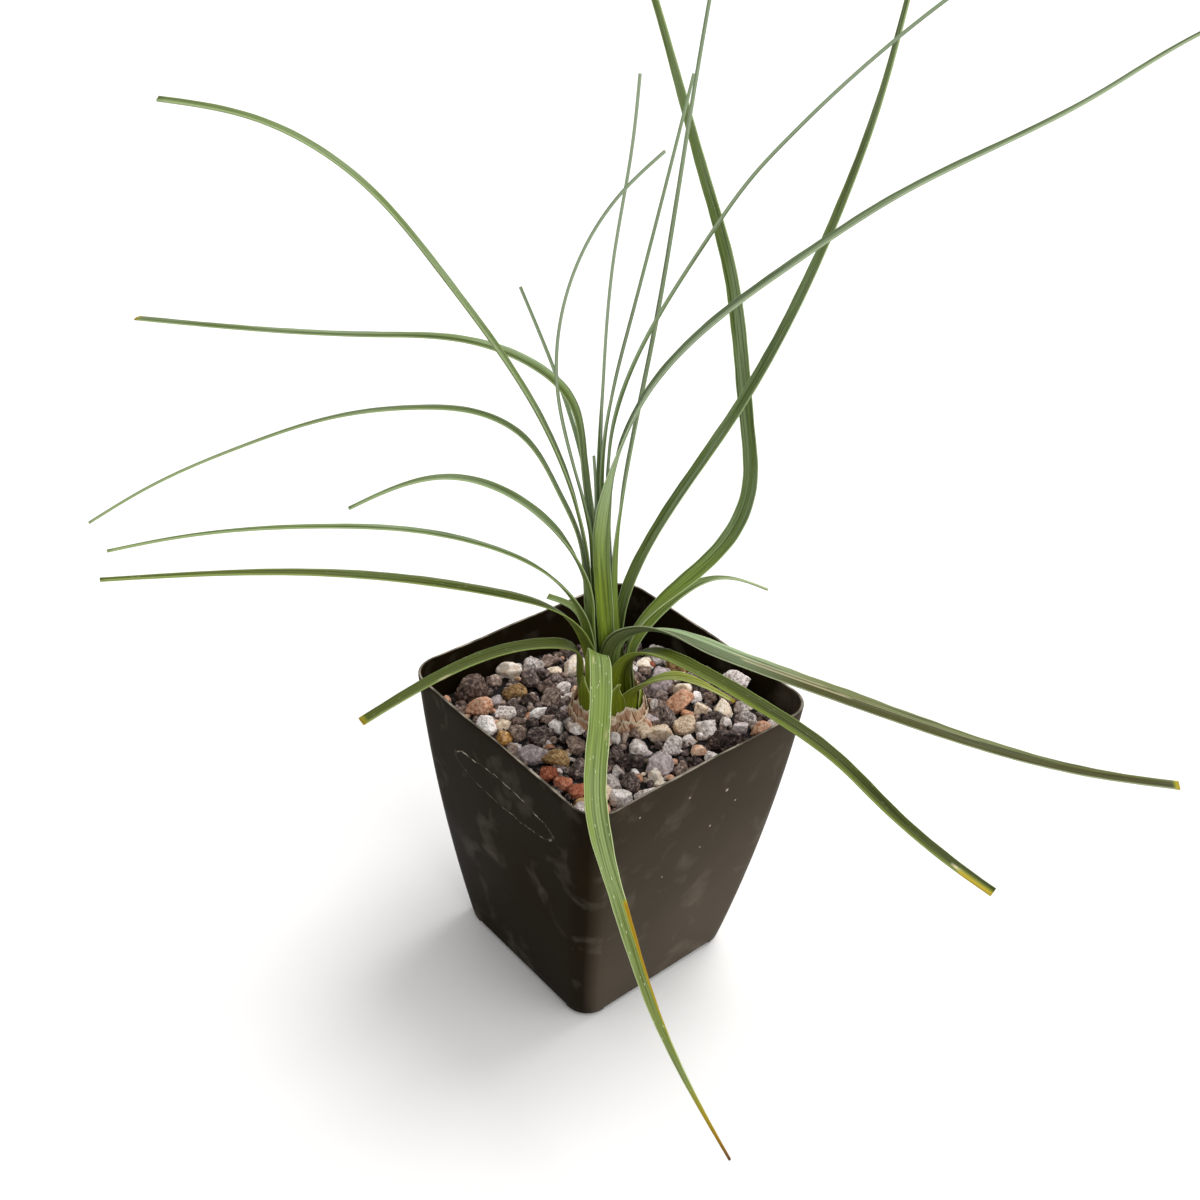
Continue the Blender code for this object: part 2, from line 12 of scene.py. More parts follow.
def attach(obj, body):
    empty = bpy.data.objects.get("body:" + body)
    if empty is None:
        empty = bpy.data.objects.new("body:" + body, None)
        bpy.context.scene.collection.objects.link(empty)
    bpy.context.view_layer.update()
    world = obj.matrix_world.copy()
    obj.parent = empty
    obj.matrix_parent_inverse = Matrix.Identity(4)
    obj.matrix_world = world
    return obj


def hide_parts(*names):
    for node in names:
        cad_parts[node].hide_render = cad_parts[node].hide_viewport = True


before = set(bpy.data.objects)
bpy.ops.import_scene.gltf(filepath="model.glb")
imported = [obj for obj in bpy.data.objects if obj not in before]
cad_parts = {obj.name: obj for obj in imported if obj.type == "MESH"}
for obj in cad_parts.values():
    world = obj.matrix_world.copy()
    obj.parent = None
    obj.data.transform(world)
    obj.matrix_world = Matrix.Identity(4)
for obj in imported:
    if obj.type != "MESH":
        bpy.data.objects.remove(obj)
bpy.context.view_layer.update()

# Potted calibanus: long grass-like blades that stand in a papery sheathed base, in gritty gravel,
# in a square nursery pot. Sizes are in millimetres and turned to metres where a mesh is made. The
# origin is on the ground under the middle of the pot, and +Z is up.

MM = 0.001
BODY = "root"
MATH = "ShaderNodeMath"
VECTOR = "ShaderNodeVectorMath"
MIX = "ShaderNodeMix"
RANGE = "ShaderNodeMapRange"     # fed with a value, where it starts and ends, and what it gives there
NOISE = "ShaderNodeTexNoise"
CELLS = "ShaderNodeTexVoronoi"
MAPPING = "ShaderNodeMapping"
RAMP = "ShaderNodeValToRGB"
SPLIT = "ShaderNodeSeparateXYZ"
JOIN = "ShaderNodeCombineXYZ"
ATTRIBUTE = "ShaderNodeAttribute"
BUMP = "ShaderNodeBump"
SAMPLE = "GeometryNodeSampleIndex"
STORE = "GeometryNodeStoreNamedAttribute"
READ = "GeometryNodeInputNamedAttribute"

# The photograph's camera: where it looks, how far it is, its turn and tilt, in millimetres and degrees
CAMERA_TARGET = Vector((9.67, 16.65, 100.0))
CAMERA_DISTANCE = 391.4
CAMERA_AZIMUTH = -42.03
CAMERA_ELEVATION = 33.34
CAMERA_ROLL = 3.27
CAMERA_LENS = 44.21        # for a 36 mm sensor

# Pot, as in the solids
POT_HEIGHT = 86
RIM_HALF = 38
FOOT_HALF = 27
RIM_CORNER = 8
FOOT_CORNER = 7
WALL_BULGE = 0.45
WALL = 0.9
FLOOR_TOP = 3.2
FOOT_FILLET = 2
FOOT_GAP = 2
FOOT_START = 20
PAD_HALF = 12
DRAIN_RADIUS = 3.5
DRAIN_REACH = 19.5
CLEARANCE = 0.3

# Gravel bed and the stones of its top layer, as in the solids
BED_HEIGHT = 74.8
BED_SLOPE_X = 0.042
BED_SLOPE_Y = -0.023
HOLLOW_PLACE = (34, 34)
HOLLOW_DEPTH = 8.5
HOLLOW_REACH = 15.5
STONE_SEED = 11
STONE_RADII = (1.9, 4.0)
STONE_SLIMNESS = (0.6, 1.0)
STONE_SPACING = 0.86
STONE_TRIES = 9000

# Stones that stand out. slim is width over length, turn the way of the length, rise the height above others.
Stone = namedtuple("Stone", "x y radius slim turn kind rise", defaults=(0,))
BIG_STONES = [Stone(*row) for row in [
    (-21, 31, 4.6, 0.7, -30, "basalt"), (-24, 24, 3.5, 0.6, -10, "feldspar"),
    (-20, 18.5, 2.5, 0.85, 0, "pumice"), (-27, 17.5, 2.8, 0.85, 60, "pumice"),
    (-26.5, 11, 2.2, 0.95, 0, "carnelian"), (-20, 13, 2.2, 0.8, 80, "basalt"),
    (-7, 15.5, 3.3, 0.75, -70, "basalt"), (-1, 31.5, 3.3, 0.8, 20, "granite"),
    (8, 24.5, 3.3, 0.9, 0, "quartz"), (-6, 26, 3.2, 0.8, 50, "lava"), (-13, 24, 3.1, 0.8, -20, "tuff"),
    (-13, 13, 2.2, 0.8, 0, "pumice"), (-19, 5, 4, 0.5, 10, "lava"), (-25, 0, 3.6, 0.55, -30, "rhyolite"),
    (-21, -5, 3.4, 0.75, -40, "tuff"), (-27, -8, 2.4, 0.9, 0, "brick"), (-26, -13, 2.2, 0.9, 0, "brick"),
    (-25, -18, 2.9, 0.8, -60, "brick"), (-29, -23.5, 2.4, 0.8, -30, "pumice"),
    (-19, -11, 2.7, 0.85, 20, "lava"), (-17, -21, 2.6, 0.9, 0, "granite"),
    (-18, -27, 3, 0.8, -40, "granite"), (-13, -24, 2.6, 0.85, 30, "lava"),
    (-13, -29.5, 2.5, 0.75, -20, "pumice"), (-7.5, -30, 2.1, 0.75, -30, "quartz"),
    (-3, -23, 3.2, 0.85, -40, "rhyolite"), (-8, -18, 3, 0.8, 0, "lava"), (0, -28, 2.4, 0.6, 50, "basalt"),
    (9.5, -30, 2, 0.9, 60, "pumice"), (8.5, -25.5, 2.1, 0.9, 0, "feldspar"),
    (4, -20.5, 3.1, 0.85, 10, "granite"), (5, -15, 3.6, 0.6, -30, "quartz"),
    (10.5, -10.5, 3.4, 0.85, 0, "lava"), (18, -8, 3.6, 0.8, -30, "feldspar"),
    (13, -15.5, 2.8, 0.85, 0, "quartz"), (16, -20.5, 2.9, 0.9, 20, "granite"),
    (16, -28, 4.9, 0.42, -30, "lava"), (23, -26, 2.6, 0.85, 0, "rhyolite"),
    (26.5, -30, 2.7, 0.7, -20, "feldspar"), (28, -24.5, 2.5, 0.9, 0, "granite"),
    (25.5, -17.5, 2.8, 0.8, 30, "quartz"), (21, -13.5, 2.2, 0.85, 0, "quartz"),
    (16, -2, 2.9, 0.8, 40, "lava"), (31, -15.5, 3.3, 0.9, 0, "basalt"),
    (31.5, -15, 3.7, 0.8, -20, "pumice", 3.8),
]]

# Caudex: (radius, height) from its buried foot up to the rim of the papery collar
CAUDEX_PROFILE = [(3.5, 50.2), (7.5, 53), (10.2, 59), (11, 66), (10.6, 73), (10.1, 78)]
CAUDEX_REACH = max(radius for radius, _ in CAUDEX_PROFILE)
CROWN_HEIGHT = 79.7

# Leaf bundle, as in the solids
LEAF_BASE = CROWN_HEIGHT + CLEARANCE
INNER_RING = 1.45
RING_STEP = 1.05
LEAN = 0.095
LEAN_HEADING = 138
BLADE = 0.65
STRAIGHT_END = 10
FREE_SPAN = 34
CHANNEL_CURVE = 1 / 7
STATION_STEP = 1.7         # finer than the solids' sections
BEND_LENGTH = 10
RIB_WIDTH = 0.75           # from crest to crest across a blade
RIB_HEIGHT = 0.035
RIB_COLUMNS = 4            # columns of the mesh in one rib

# How each blade looks: its finish, how deep it is keeled (mm) and where its crease runs (-1 to 1 across),
# which side of the crease carries painted shade (-1, 1, or 0 for none), how far its outer half has turned,
# and its dry tip (length and strength). A keel below 0 is a ridge. scars and withered are (start, end,
# middle, width, strength) in mm.
NO_TIP = (0.1, 0)
CUT_TIP = (1, 0.6)
Look = namedtuple("Look", "finish keel crease dim far dry scars withered", defaults=(NO_TIP, (), ()))
SCALE_LOOK = Look("bright", 0.1, 0, 0, 0)

# A blade: its slot in the bundle (ring, degrees), the way it heads, its width in the sheath, along the blade
# and at the tip, its twist, its route (reach, aside, height), its look, and how much it narrows at its fold
Leaf = namedtuple("Leaf", "name ring slot heading sheath width tip twist route look fold",
                  defaults=(SCALE_LOOK, 0))
LEAVES = [
    Leaf("leaf_left_topmost", 3, 153, 143, 3.4, 4.6, 3, 0,
         [(0, 0, 122), (1, 0, 134), (9, 0, 163), (28, 0, 197), (43, 0, 217), (63, 0, 229), (81, 0, 232)],
         Look("grey", 0.2, 0.2, 0, 0.4)),
    Leaf("leaf_left_high", 2, 108, 118, 3, 4.2, 3, 0,
         [(0, 0, 130), (1, 0, 151), (4, 0, 167), (13, 0, 173), (34, 0, 175), (52, 0, 172), (124, 0, 162)],
         Look("grey", -0.3, 0.3, 1, 0.6, CUT_TIP)),
    Leaf("leaf_left_arched", 4, 129, 130, 3.4, 3.4, 1, 5,
         [(0, 0, 112), (1, 0, 131), (5, 0, 142), (13, 0, 156), (21, 0, 160), (37, 0, 160), (58, 0, 155),
          (81, 0, 145), (112, 0, 128), (131, 0, 115)],
         Look("grey", -0.3, 0.2, 0, 0.9)),
    Leaf("leaf_left_short", 4, 179, 146, 3.4, 4.2, 1, -5,
         [(0, 0, 108), (0, 0, 116), (31, 0, 149), (55, 0, 141)], Look("grey", 0.3, 0.1, 0, 0.5)),
    Leaf("leaf_left_middle", 5, 183, 153, 4.2, 3.6, 1, 0,
         [(0, 0, 98), (1, 0, 109), (9, 0, 123), (22, 0, 132), (43, 0, 139), (58, 0, 141), (94, 0, 141),
          (108, 0, 139)],
         Look("grey", -0.5, 0.6, 1, 0.1)),
    Leaf("leaf_left_low", 6, 193, 161, 4.6, 4, 1.2, 0,
         [(0, 0, 97), (5, 0, 111), (22, 0, 122), (66, 0, 136), (109, 0, 142)],
         Look("olive", -0.5, -0.1, 1, 0.5)),
    Leaf("leaf_left_front", 7, 161, 173, 4.8, 4.2, 3, 8,
         [(0, 0, 92), (0, 0, 98), (7, 0, 103), (60, 0, 99)],
         Look("olive", 0.6, 0.5, -1, 0.7, CUT_TIP, [(58, 60, 1.4, 0.5, 0.7)])),
    Leaf("leaf_left_stub", 5, 108, 123, 3.4, 3.4, 2.4, 0, [(0, 0, 97), (3, 0, 107), (10, 0, 109)],
         Look("grey", 0.3, 0, 0, 0.4)),
    Leaf("leaf_thin_left", 3, 73, 88, 1.6, 1.4, 0.8, 0, [(0, 0, 124), (3, 0, 148), (24, 0, 185)],
         Look("young", 0.1, 0, 0, 0.6)),
    Leaf("leaf_thin_bowed", 2, 178, 133, 1.6, 1.6, 0.8, 0,
         [(0, 0, 129), (6, 0, 171), (-11, 0, 217), (-20, 0, 226)], Look("young", 0.1, 0, 0, 0.9)),
    Leaf("leaf_right_low", 6, -97, -77, 7, 5.2, 3.4, -5,
         [(0, 0, 93), (6, 0, 103), (21, 0, 106), (40, 0, 104), (64, 0, 98), (73, 0, 93), (95, 0, 84),
          (103, 0, 82)],
         Look("ripe", 0.6, -0.15, 1, 0.9, NO_TIP, [(117.4, 119.2, -0.4, 0.8, 1)],
              [(120, 135, -1.5, 2.2, 0.5)])),
    Leaf("leaf_right_lowest", 7, -82, -62, 7.5, 4.4, 1, 0,
         [(0, 0, 86), (3.5, 0, 91), (12, 0, 96.5), (28, 0, 94)], Look("bright", 0.6, 0.1, 0, 1.0, CUT_TIP)),
    Leaf("leaf_right_broad", 5, -122, -50, 5.4, 6.6, 3.2, 0,
         [(0, 0, 98), (2, 0, 104), (11, 0, 109), (22, 0, 107), (57, 0, 97), (80, 0, 91), (122, 0, 84),
          (142, 0, 84)],
         Look("broad", -0.2, 0.3, -1, 1.0, CUT_TIP,
              [(58, 86, 0.3, 0.4, 0.55), (56, 80, 1.3, 0.25, 0.5), (84, 120, 0.8, 0.2, 0.3)])),
    Leaf("leaf_right_stub", 6, -14, 8, 4.6, 3.4, 1, 0,
         [(0, 0, 93), (15, 0, 102), (29, 0, 103), (60, 0, 87)], Look("grey", 0.3, 0.2, 0, 0.8)),
    Leaf("leaf_right_curled", 5, -42, 0, 5, 4.6, 1.4, 15,
         [(0, 0, 97), (37, 0, 119), (43, 0, 128), (43, 0, 148), (36, 0, 193), (29, 0, 213), (17, 0, 247),
          (5, 0, 278)],
         Look("grey", 0.2, 0.1, 0, 0.3, CUT_TIP)),
    Leaf("leaf_right_high", 4, -2, -22, 4, 4.8, 1.4, 0,
         [(0, 0, 102), (10, 0, 128), (32, 0, 159), (59, 0, 211), (67, 0, 234), (71, 0, 250), (78, 0, 280)],
         Look("grey", 0.2, 0, 0, 0.5, CUT_TIP)),
    Leaf("leaf_centre_broad", 4, -127, -37, 4.4, 4.6, 1.2, 0,
         [(0, 0, 128), (4, 0, 152), (13, 0, 172), (47, 0, 204), (67, 0, 218), (107, 0, 240),
          (122, 0, 250), (150, 0, 264)],
         Look("waxy", 0.4, 0.4, 1, 0.8, CUT_TIP)),
    Leaf("leaf_thin_right", 2, -12, -52, 1.7, 1.8, 0.9, -20,
         [(0, 0, 135), (2, 0, 159), (25, 0, 208), (35, 0, 223), (40, 0, 229), (70, 0, 259), (90, 0, 275)],
         Look("young", 0.1, 0, 0, 0.8)),
    Leaf("leaf_upright_broad", 3, -72, -22, 3.2, 3.3, 1.2, -12,
         [(0, 0, 116), (12, 0, 182), (25, 0, 248), (34, 0, 288)], Look("young", 0.2, 0.2, 0, 0.5, CUT_TIP)),
    Leaf("leaf_thin_leaning", 1, -82, -12, 1.4, 1.6, 0.8, -20,
         [(0, 0, 145), (5, 0, 172), (9, 0, 184), (27, 0, 238)], Look("young", 0.1, 0, 0, 0.4)),
    Leaf("leaf_thin_upright", 1, 38, -42, 1.4, 1.4, 0.8, 0,
         [(0, 0, 140), (2, 0, 168), (6, 0, 201), (11, 0, 226), (13, 0, 240)],
         Look("young", 0.1, 0, 0, 0.9)),
    Leaf("leaf_young", 1, 158, 138, 1.4, 1.4, 0.8, 0, [(0, 0, 124), (-1, 0, 144), (-1, 0, 153)],
         Look("young", 0.1, 0, 0, 0.6)),
    Leaf("leaf_front", 7, -155, -132, 5.6, 5.7, 1, 0,
         [(0, 0, 95), (2, 1, 102), (8, 2, 105), (17, 2.5, 102.5), (29, 2, 97), (43, 1.5, 90),
          (60, 6.5, 76), (72, 14.3, 53), (78, 22.3, 34), (81, 31, 14)],
         Look("front", 0.5, 0.55, 0, 0.5, (28, 1), [(30, 31, -1.8, 0.3, 0.9), (50, 51, 1.9, 0.3, 0.9)],
              [(92, 150, 1.6, 0.9, 0.75)]), 0.3),
]

# Short scales that clasp the foot of the bundle outside the leaves
SCALES = [
    Leaf("scale_front", 7.85, -116, -116, 4.8, 4, 0.9, 0, [(0, 0, 87), (0, 0.1, 90.6), (1.1, 0.7, 93.2)]),
    Leaf("scale_middle", 7.75, -143.5, -143.5, 3.4, 3.2, 0.8, 0,
         [(0, 0, 86), (-0.1, 0, 89), (-0.3, 0, 92.5)]),
    Leaf("scale_left", 7.8, -176, -176, 5.6, 5, 0.9, 0, [(0, 0, 87), (-0.1, 0, 90), (-0.3, 0, 93)]),
    Leaf("scale_right", 7.8, -48, -48, 6, 5, 0.9, 0, [(0, 0, 82.5), (-0.1, 0, 84.5), (-0.2, 0, 86.5)]),
]


# Colours, nodes, objects, meshes and directions

def linear(code):
    """Linear colour of an sRGB hex value."""
    parts = [int(code[k:k + 2], 16) / 255 for k in (0, 2, 4)]
    parts = [part / 12.92 if part <= 0.04045 else ((part + 0.055) / 1.055) ** 2.4 for part in parts]
    return (*parts, 1)


def feed(node, feeds):
    """Gives a node's shown inputs, by name or in order, their values or the nodes that feed them."""
    shown = [socket for socket in node.inputs if socket.enabled]
    for key, value in (feeds.items() if isinstance(feeds, dict) else enumerate(feeds)):
        socket = shown[key] if isinstance(key, int) else next(s for s in shown if s.name == key)
        if isinstance(value, bpy.types.Node):
            value = next(out for out in value.outputs if out.enabled)
        if isinstance(value, bpy.types.NodeSocket):
            node.id_data.links.new(value, socket)
        else:
            socket.default_value = value


def add_node(tree, kind, feeds=(), operation=None, stops=(), **settings):
    """Adds one node with its settings and what feeds it. stops are the places and colours of a ramp."""
    made = tree.nodes.new(kind)
    if operation:
        made.operation = operation
    for key, value in settings.items():
        setattr(made, key, value)
    for k, (place, color) in enumerate(stops):
        element = made.color_ramp.elements[k] if k < 2 else made.color_ramp.elements.new(place)
        element.position = place
        element.color = linear(color)
    feed(made, feeds)
    return made


def layered(add, color, layers):
    """A colour with others laid over it in turn, each as strong as its factor."""
    for factor, over in layers:
        over = linear(over) if isinstance(over, str) else over
        color = add(MIX, {"Factor": factor, "A": color, "B": over}, data_type="RGBA")
    return color


def new_finish(name, **sockets):
    """A Principled material with uniform values on its sockets, what adds a node to it, and its shader."""
    made = bpy.data.materials.new(name)
    made.use_nodes = True
    shader = made.node_tree.nodes["Principled BSDF"]
    feed(shader, {key.replace("_", " "): value for key, value in sockets.items()})
    return made, partial(add_node, made.node_tree), shader


def new_growth(name, *numbers):
    """A Geometry Nodes tree with inputs of these names, what adds a node to it, and its inputs."""
    tree = bpy.data.node_groups.new(name, "GeometryNodeTree")
    for label in ("Geometry", "Material", *numbers):
        kind = label if label in ("Geometry", "Material") else "Float"
        tree.interface.new_socket(label, in_out="INPUT", socket_type="NodeSocket" + kind)
    tree.interface.new_socket("Geometry", in_out="OUTPUT", socket_type="NodeSocketGeometry")
    return tree, partial(add_node, tree), tree.nodes.new("NodeGroupInput").outputs


def end_growth(add, geometry, finish):
    """Ends a tree: its instances turned to mesh, with their material."""
    plain = add("GeometryNodeRealizeInstances", {"Geometry": geometry})
    worn = add("GeometryNodeSetMaterial", {"Geometry": plain, "Material": finish})
    add("NodeGroupOutput", {"Geometry": worn})


def show(name, data):
    """A new object in the scene."""
    made = bpy.data.objects.new(name, data)
    bpy.context.scene.collection.objects.link(made)
    return made


def add_piece(name, mesh, slot, *nodes):
    """An object of the plant that rides on its body and stands for CAD nodes, which it hides; its slot is
    not used.
    """
    made = show(name, mesh)
    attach(made, BODY)
    if nodes:
        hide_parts(*nodes)


def grow_mesh(tree, seed_mesh, values):
    """Runs a tree on a mesh and returns the plain mesh that it makes."""
    carrier = show(tree.name, seed_mesh)
    modifier = carrier.modifiers.new(tree.name, "NODES")
    modifier.node_group = tree
    for item in tree.interface.items_tree:
        if item.in_out == "INPUT" and item.name in values:
            modifier[item.identifier] = values[item.name]
    depsgraph = bpy.context.evaluated_depsgraph_get()
    grown = bpy.data.meshes.new_from_object(carrier.evaluated_get(depsgraph),
                                            preserve_all_data_layers=True, depsgraph=depsgraph)
    carrier.modifiers.remove(modifier)
    bpy.data.objects.remove(carrier)
    return grown


def point_mesh(name, places, **attributes):
    """Loose points in metres, with a named value or vector on each."""
    mesh = bpy.data.meshes.new(name)
    mesh.from_pydata([tuple(place) for place in places], [], [])
    for key, values in attributes.items():
        values = np.asarray(values, np.float32)
        kind, field = ("FLOAT_VECTOR", "vector") if values.ndim == 2 else ("FLOAT", "value")
        mesh.attributes.new(key, kind, "POINT").data.foreach_set(field, values.ravel())
    return mesh


def solid_mesh(name, points, faces, finish, sharp=40):
    """Closed mesh from points in millimetres, with its faces turned outwards and shaded smooth."""
    mesh = bpy.data.meshes.new(name)
    mesh.from_pydata([[value * MM for value in point] for point in points], [], faces)
    shape = bmesh.new()
    shape.from_mesh(mesh)
    bmesh.ops.recalc_face_normals(shape, faces=shape.faces)
    shape.to_mesh(mesh)
    shape.free()
    finish_mesh(mesh, finish, sharp)
    return mesh


def finish_mesh(mesh, finish, sharp):
    """Material and smooth shading up to an angle between faces."""
    mesh.materials.clear()
    mesh.materials.append(finish)
    mesh.shade_smooth()
    mesh.set_sharp_from_angle(angle=math.radians(sharp))


def loft(loops):
    """Points and faces of a closed body through loops of equal count, with its two ends capped."""
    count = len(loops[0])
    points = [point for loop in loops for point in loop]
    faces = [list(range(count))[::-1]]
    for row in range(len(loops) - 1):
        start = row * count
        for k in range(count):
            after = (k + 1) % count
            faces.append([start + k, start + after, start + count + after, start + count + k])
    faces.append(list(range(len(points) - count, len(points))))
    return points, faces


def direction(degrees):
    """Unit vector in the ground plane."""
    angle = math.radians(degrees)
    return np.array([math.cos(angle), math.sin(angle), 0.0])


def ease(value, start, end):
    """0 before start, 1 after end, and a smooth step between them."""
    part = min(max((value - start) / (end - start), 0.0), 1.0)
    return part * part * (3 - 2 * part)


# Leaves: where each blade runs, as in the solids but in finer steps

def smooth_route(points, count=900):
    """Points and tangents along a natural cubic spline through the route's points."""
    knots = np.asarray(points, float)
    spans = np.linalg.norm(np.diff(knots, axis=0), axis=1)
    along = np.concatenate([[0], np.cumsum(spans)])
    last = len(knots) - 1
    system = np.eye(last + 1)
    right = np.zeros_like(knots)
    for k in range(1, last):
        system[k, k - 1:k + 2] = spans[k - 1], 2 * (spans[k - 1] + spans[k]), spans[k]
        right[k] = 6 * ((knots[k + 1] - knots[k]) / spans[k] - (knots[k] - knots[k - 1]) / spans[k - 1])
    bends = np.linalg.solve(system, right)
    at = np.linspace(0, along[-1], count)
    k = np.clip(np.searchsorted(along, at, side="right") - 1, 0, last - 1)
    before, after, span = (at - along[k])[:, None], (along[k + 1] - at)[:, None], spans[k][:, None]
    curve = (bends[k] * after ** 3 + bends[k + 1] * before ** 3) / (6 * span)
    curve += (knots[k] / span - bends[k] * span / 6) * after
    curve += (knots[k + 1] / span - bends[k + 1] * span / 6) * before
    tangents = np.gradient(curve, axis=0)
    return curve, tangents / np.linalg.norm(tangents, axis=1)[:, None]


def stations(points):
    """Places, tangents and distances along the route, closer together where it bends."""
    curve, tangents = smooth_route(points)
    steps = np.linalg.norm(np.diff(curve, axis=0), axis=1)
    bends = np.linalg.norm(np.diff(tangents, axis=0), axis=1)
    along = np.concatenate([[0], np.cumsum(steps)])
    measure = np.concatenate([[0], np.cumsum(steps + BEND_LENGTH * bends)])
    at = np.linspace(0, measure[-1], int(measure[-1] / STATION_STEP) + 1)
    rows = np.column_stack([curve, tangents, along])
    rows = np.column_stack([np.interp(at, measure, column) for column in rows.T])
    directions = rows[:, 3:6] / np.linalg.norm(rows[:, 3:6], axis=1)[:, None]
    return rows[:, :3], directions, rows[:, 6]


def slot_radius(leaf):
    """Distance of a leaf's slot from the middle of the bundle."""
    return INNER_RING + RING_STEP * (leaf.ring - 1)


def leaf_world(leaf):
    """The leaf's points in the ground frame: slot, lean of the bundle, reach, aside and height."""
    slot = direction(leaf.slot) * slot_radius(leaf)
    out, left = direction(leaf.heading), direction(leaf.heading + 90)
    parting = leaf.route[0][2]
    stem = [(0, 0, LEAF_BASE), (0, 0, parting - min(STRAIGHT_END, (parting - LEAF_BASE) / 2))]
    placed = []
    for reach, aside, height in stem + leaf.route:
        leaned = slot + direction(LEAN_HEADING) * LEAN * (height - LEAF_BASE)
        placed.append(leaned + out * reach + left * aside + np.array([0, 0, height]))
    return placed


GUIDED = ("width_way", "back_way", "width", "curl", "share", "distance", "fullness", "keel")


def blade_guide(leaf, number):
    """The blade's midline as points that carry its width, its curl, its keel and which way it faces."""
    curve, tangents, distances = stations(leaf_world(leaf))
    length = distances[-1]
    turn = (leaf.slot - leaf.heading + 180) % 360 - 180
    parting = leaf.route[0][2] - LEAF_BASE
    rows = []
    for tangent, along in zip(tangents, distances):
        free = ease(along, parting, min(parting + FREE_SPAN, 0.9 * length))
        roll = math.radians(turn + (leaf.twist - turn) * free)
        side = direction(leaf.heading + 90)
        side = side - tangent * side.dot(tangent)
        side /= np.linalg.norm(side)
        back = np.cross(side, tangent)
        width_way = side * math.cos(roll) - back * math.sin(roll)
        back_way = back * math.cos(roll) + side * math.sin(roll)
        curl = 1 / slot_radius(leaf) + (CHANNEL_CURVE - 1 / slot_radius(leaf)) * free
        base = leaf.sheath + (leaf.width - leaf.sheath) * free
        width = base + (leaf.tip - base) * ease(along, 0.45 * length, 1.02 * length)
        width *= 1 - leaf.fold * ease(along, 0.42 * length, 0.55 * length)
        uneven = 1 + 0.02 * math.sin(0.31 * along + number) + 0.015 * math.sin(0.83 * along + 2 * number)
        keel = leaf.look.keel * free * min(width / leaf.width, 1)
        rows.append((width_way, back_way, width * uneven * MM, curl / MM, along / length, along, 1.0,
                     keel * MM))
    rows = [rows[0], *rows, rows[-1]]
    values = {name: np.array(column) for name, column in zip(GUIDED, zip(*rows))}
    values["fullness"][[0, -1]] = 0
    return point_mesh(leaf.name, curve[[0, *range(len(curve)), -1]] * MM, **values)


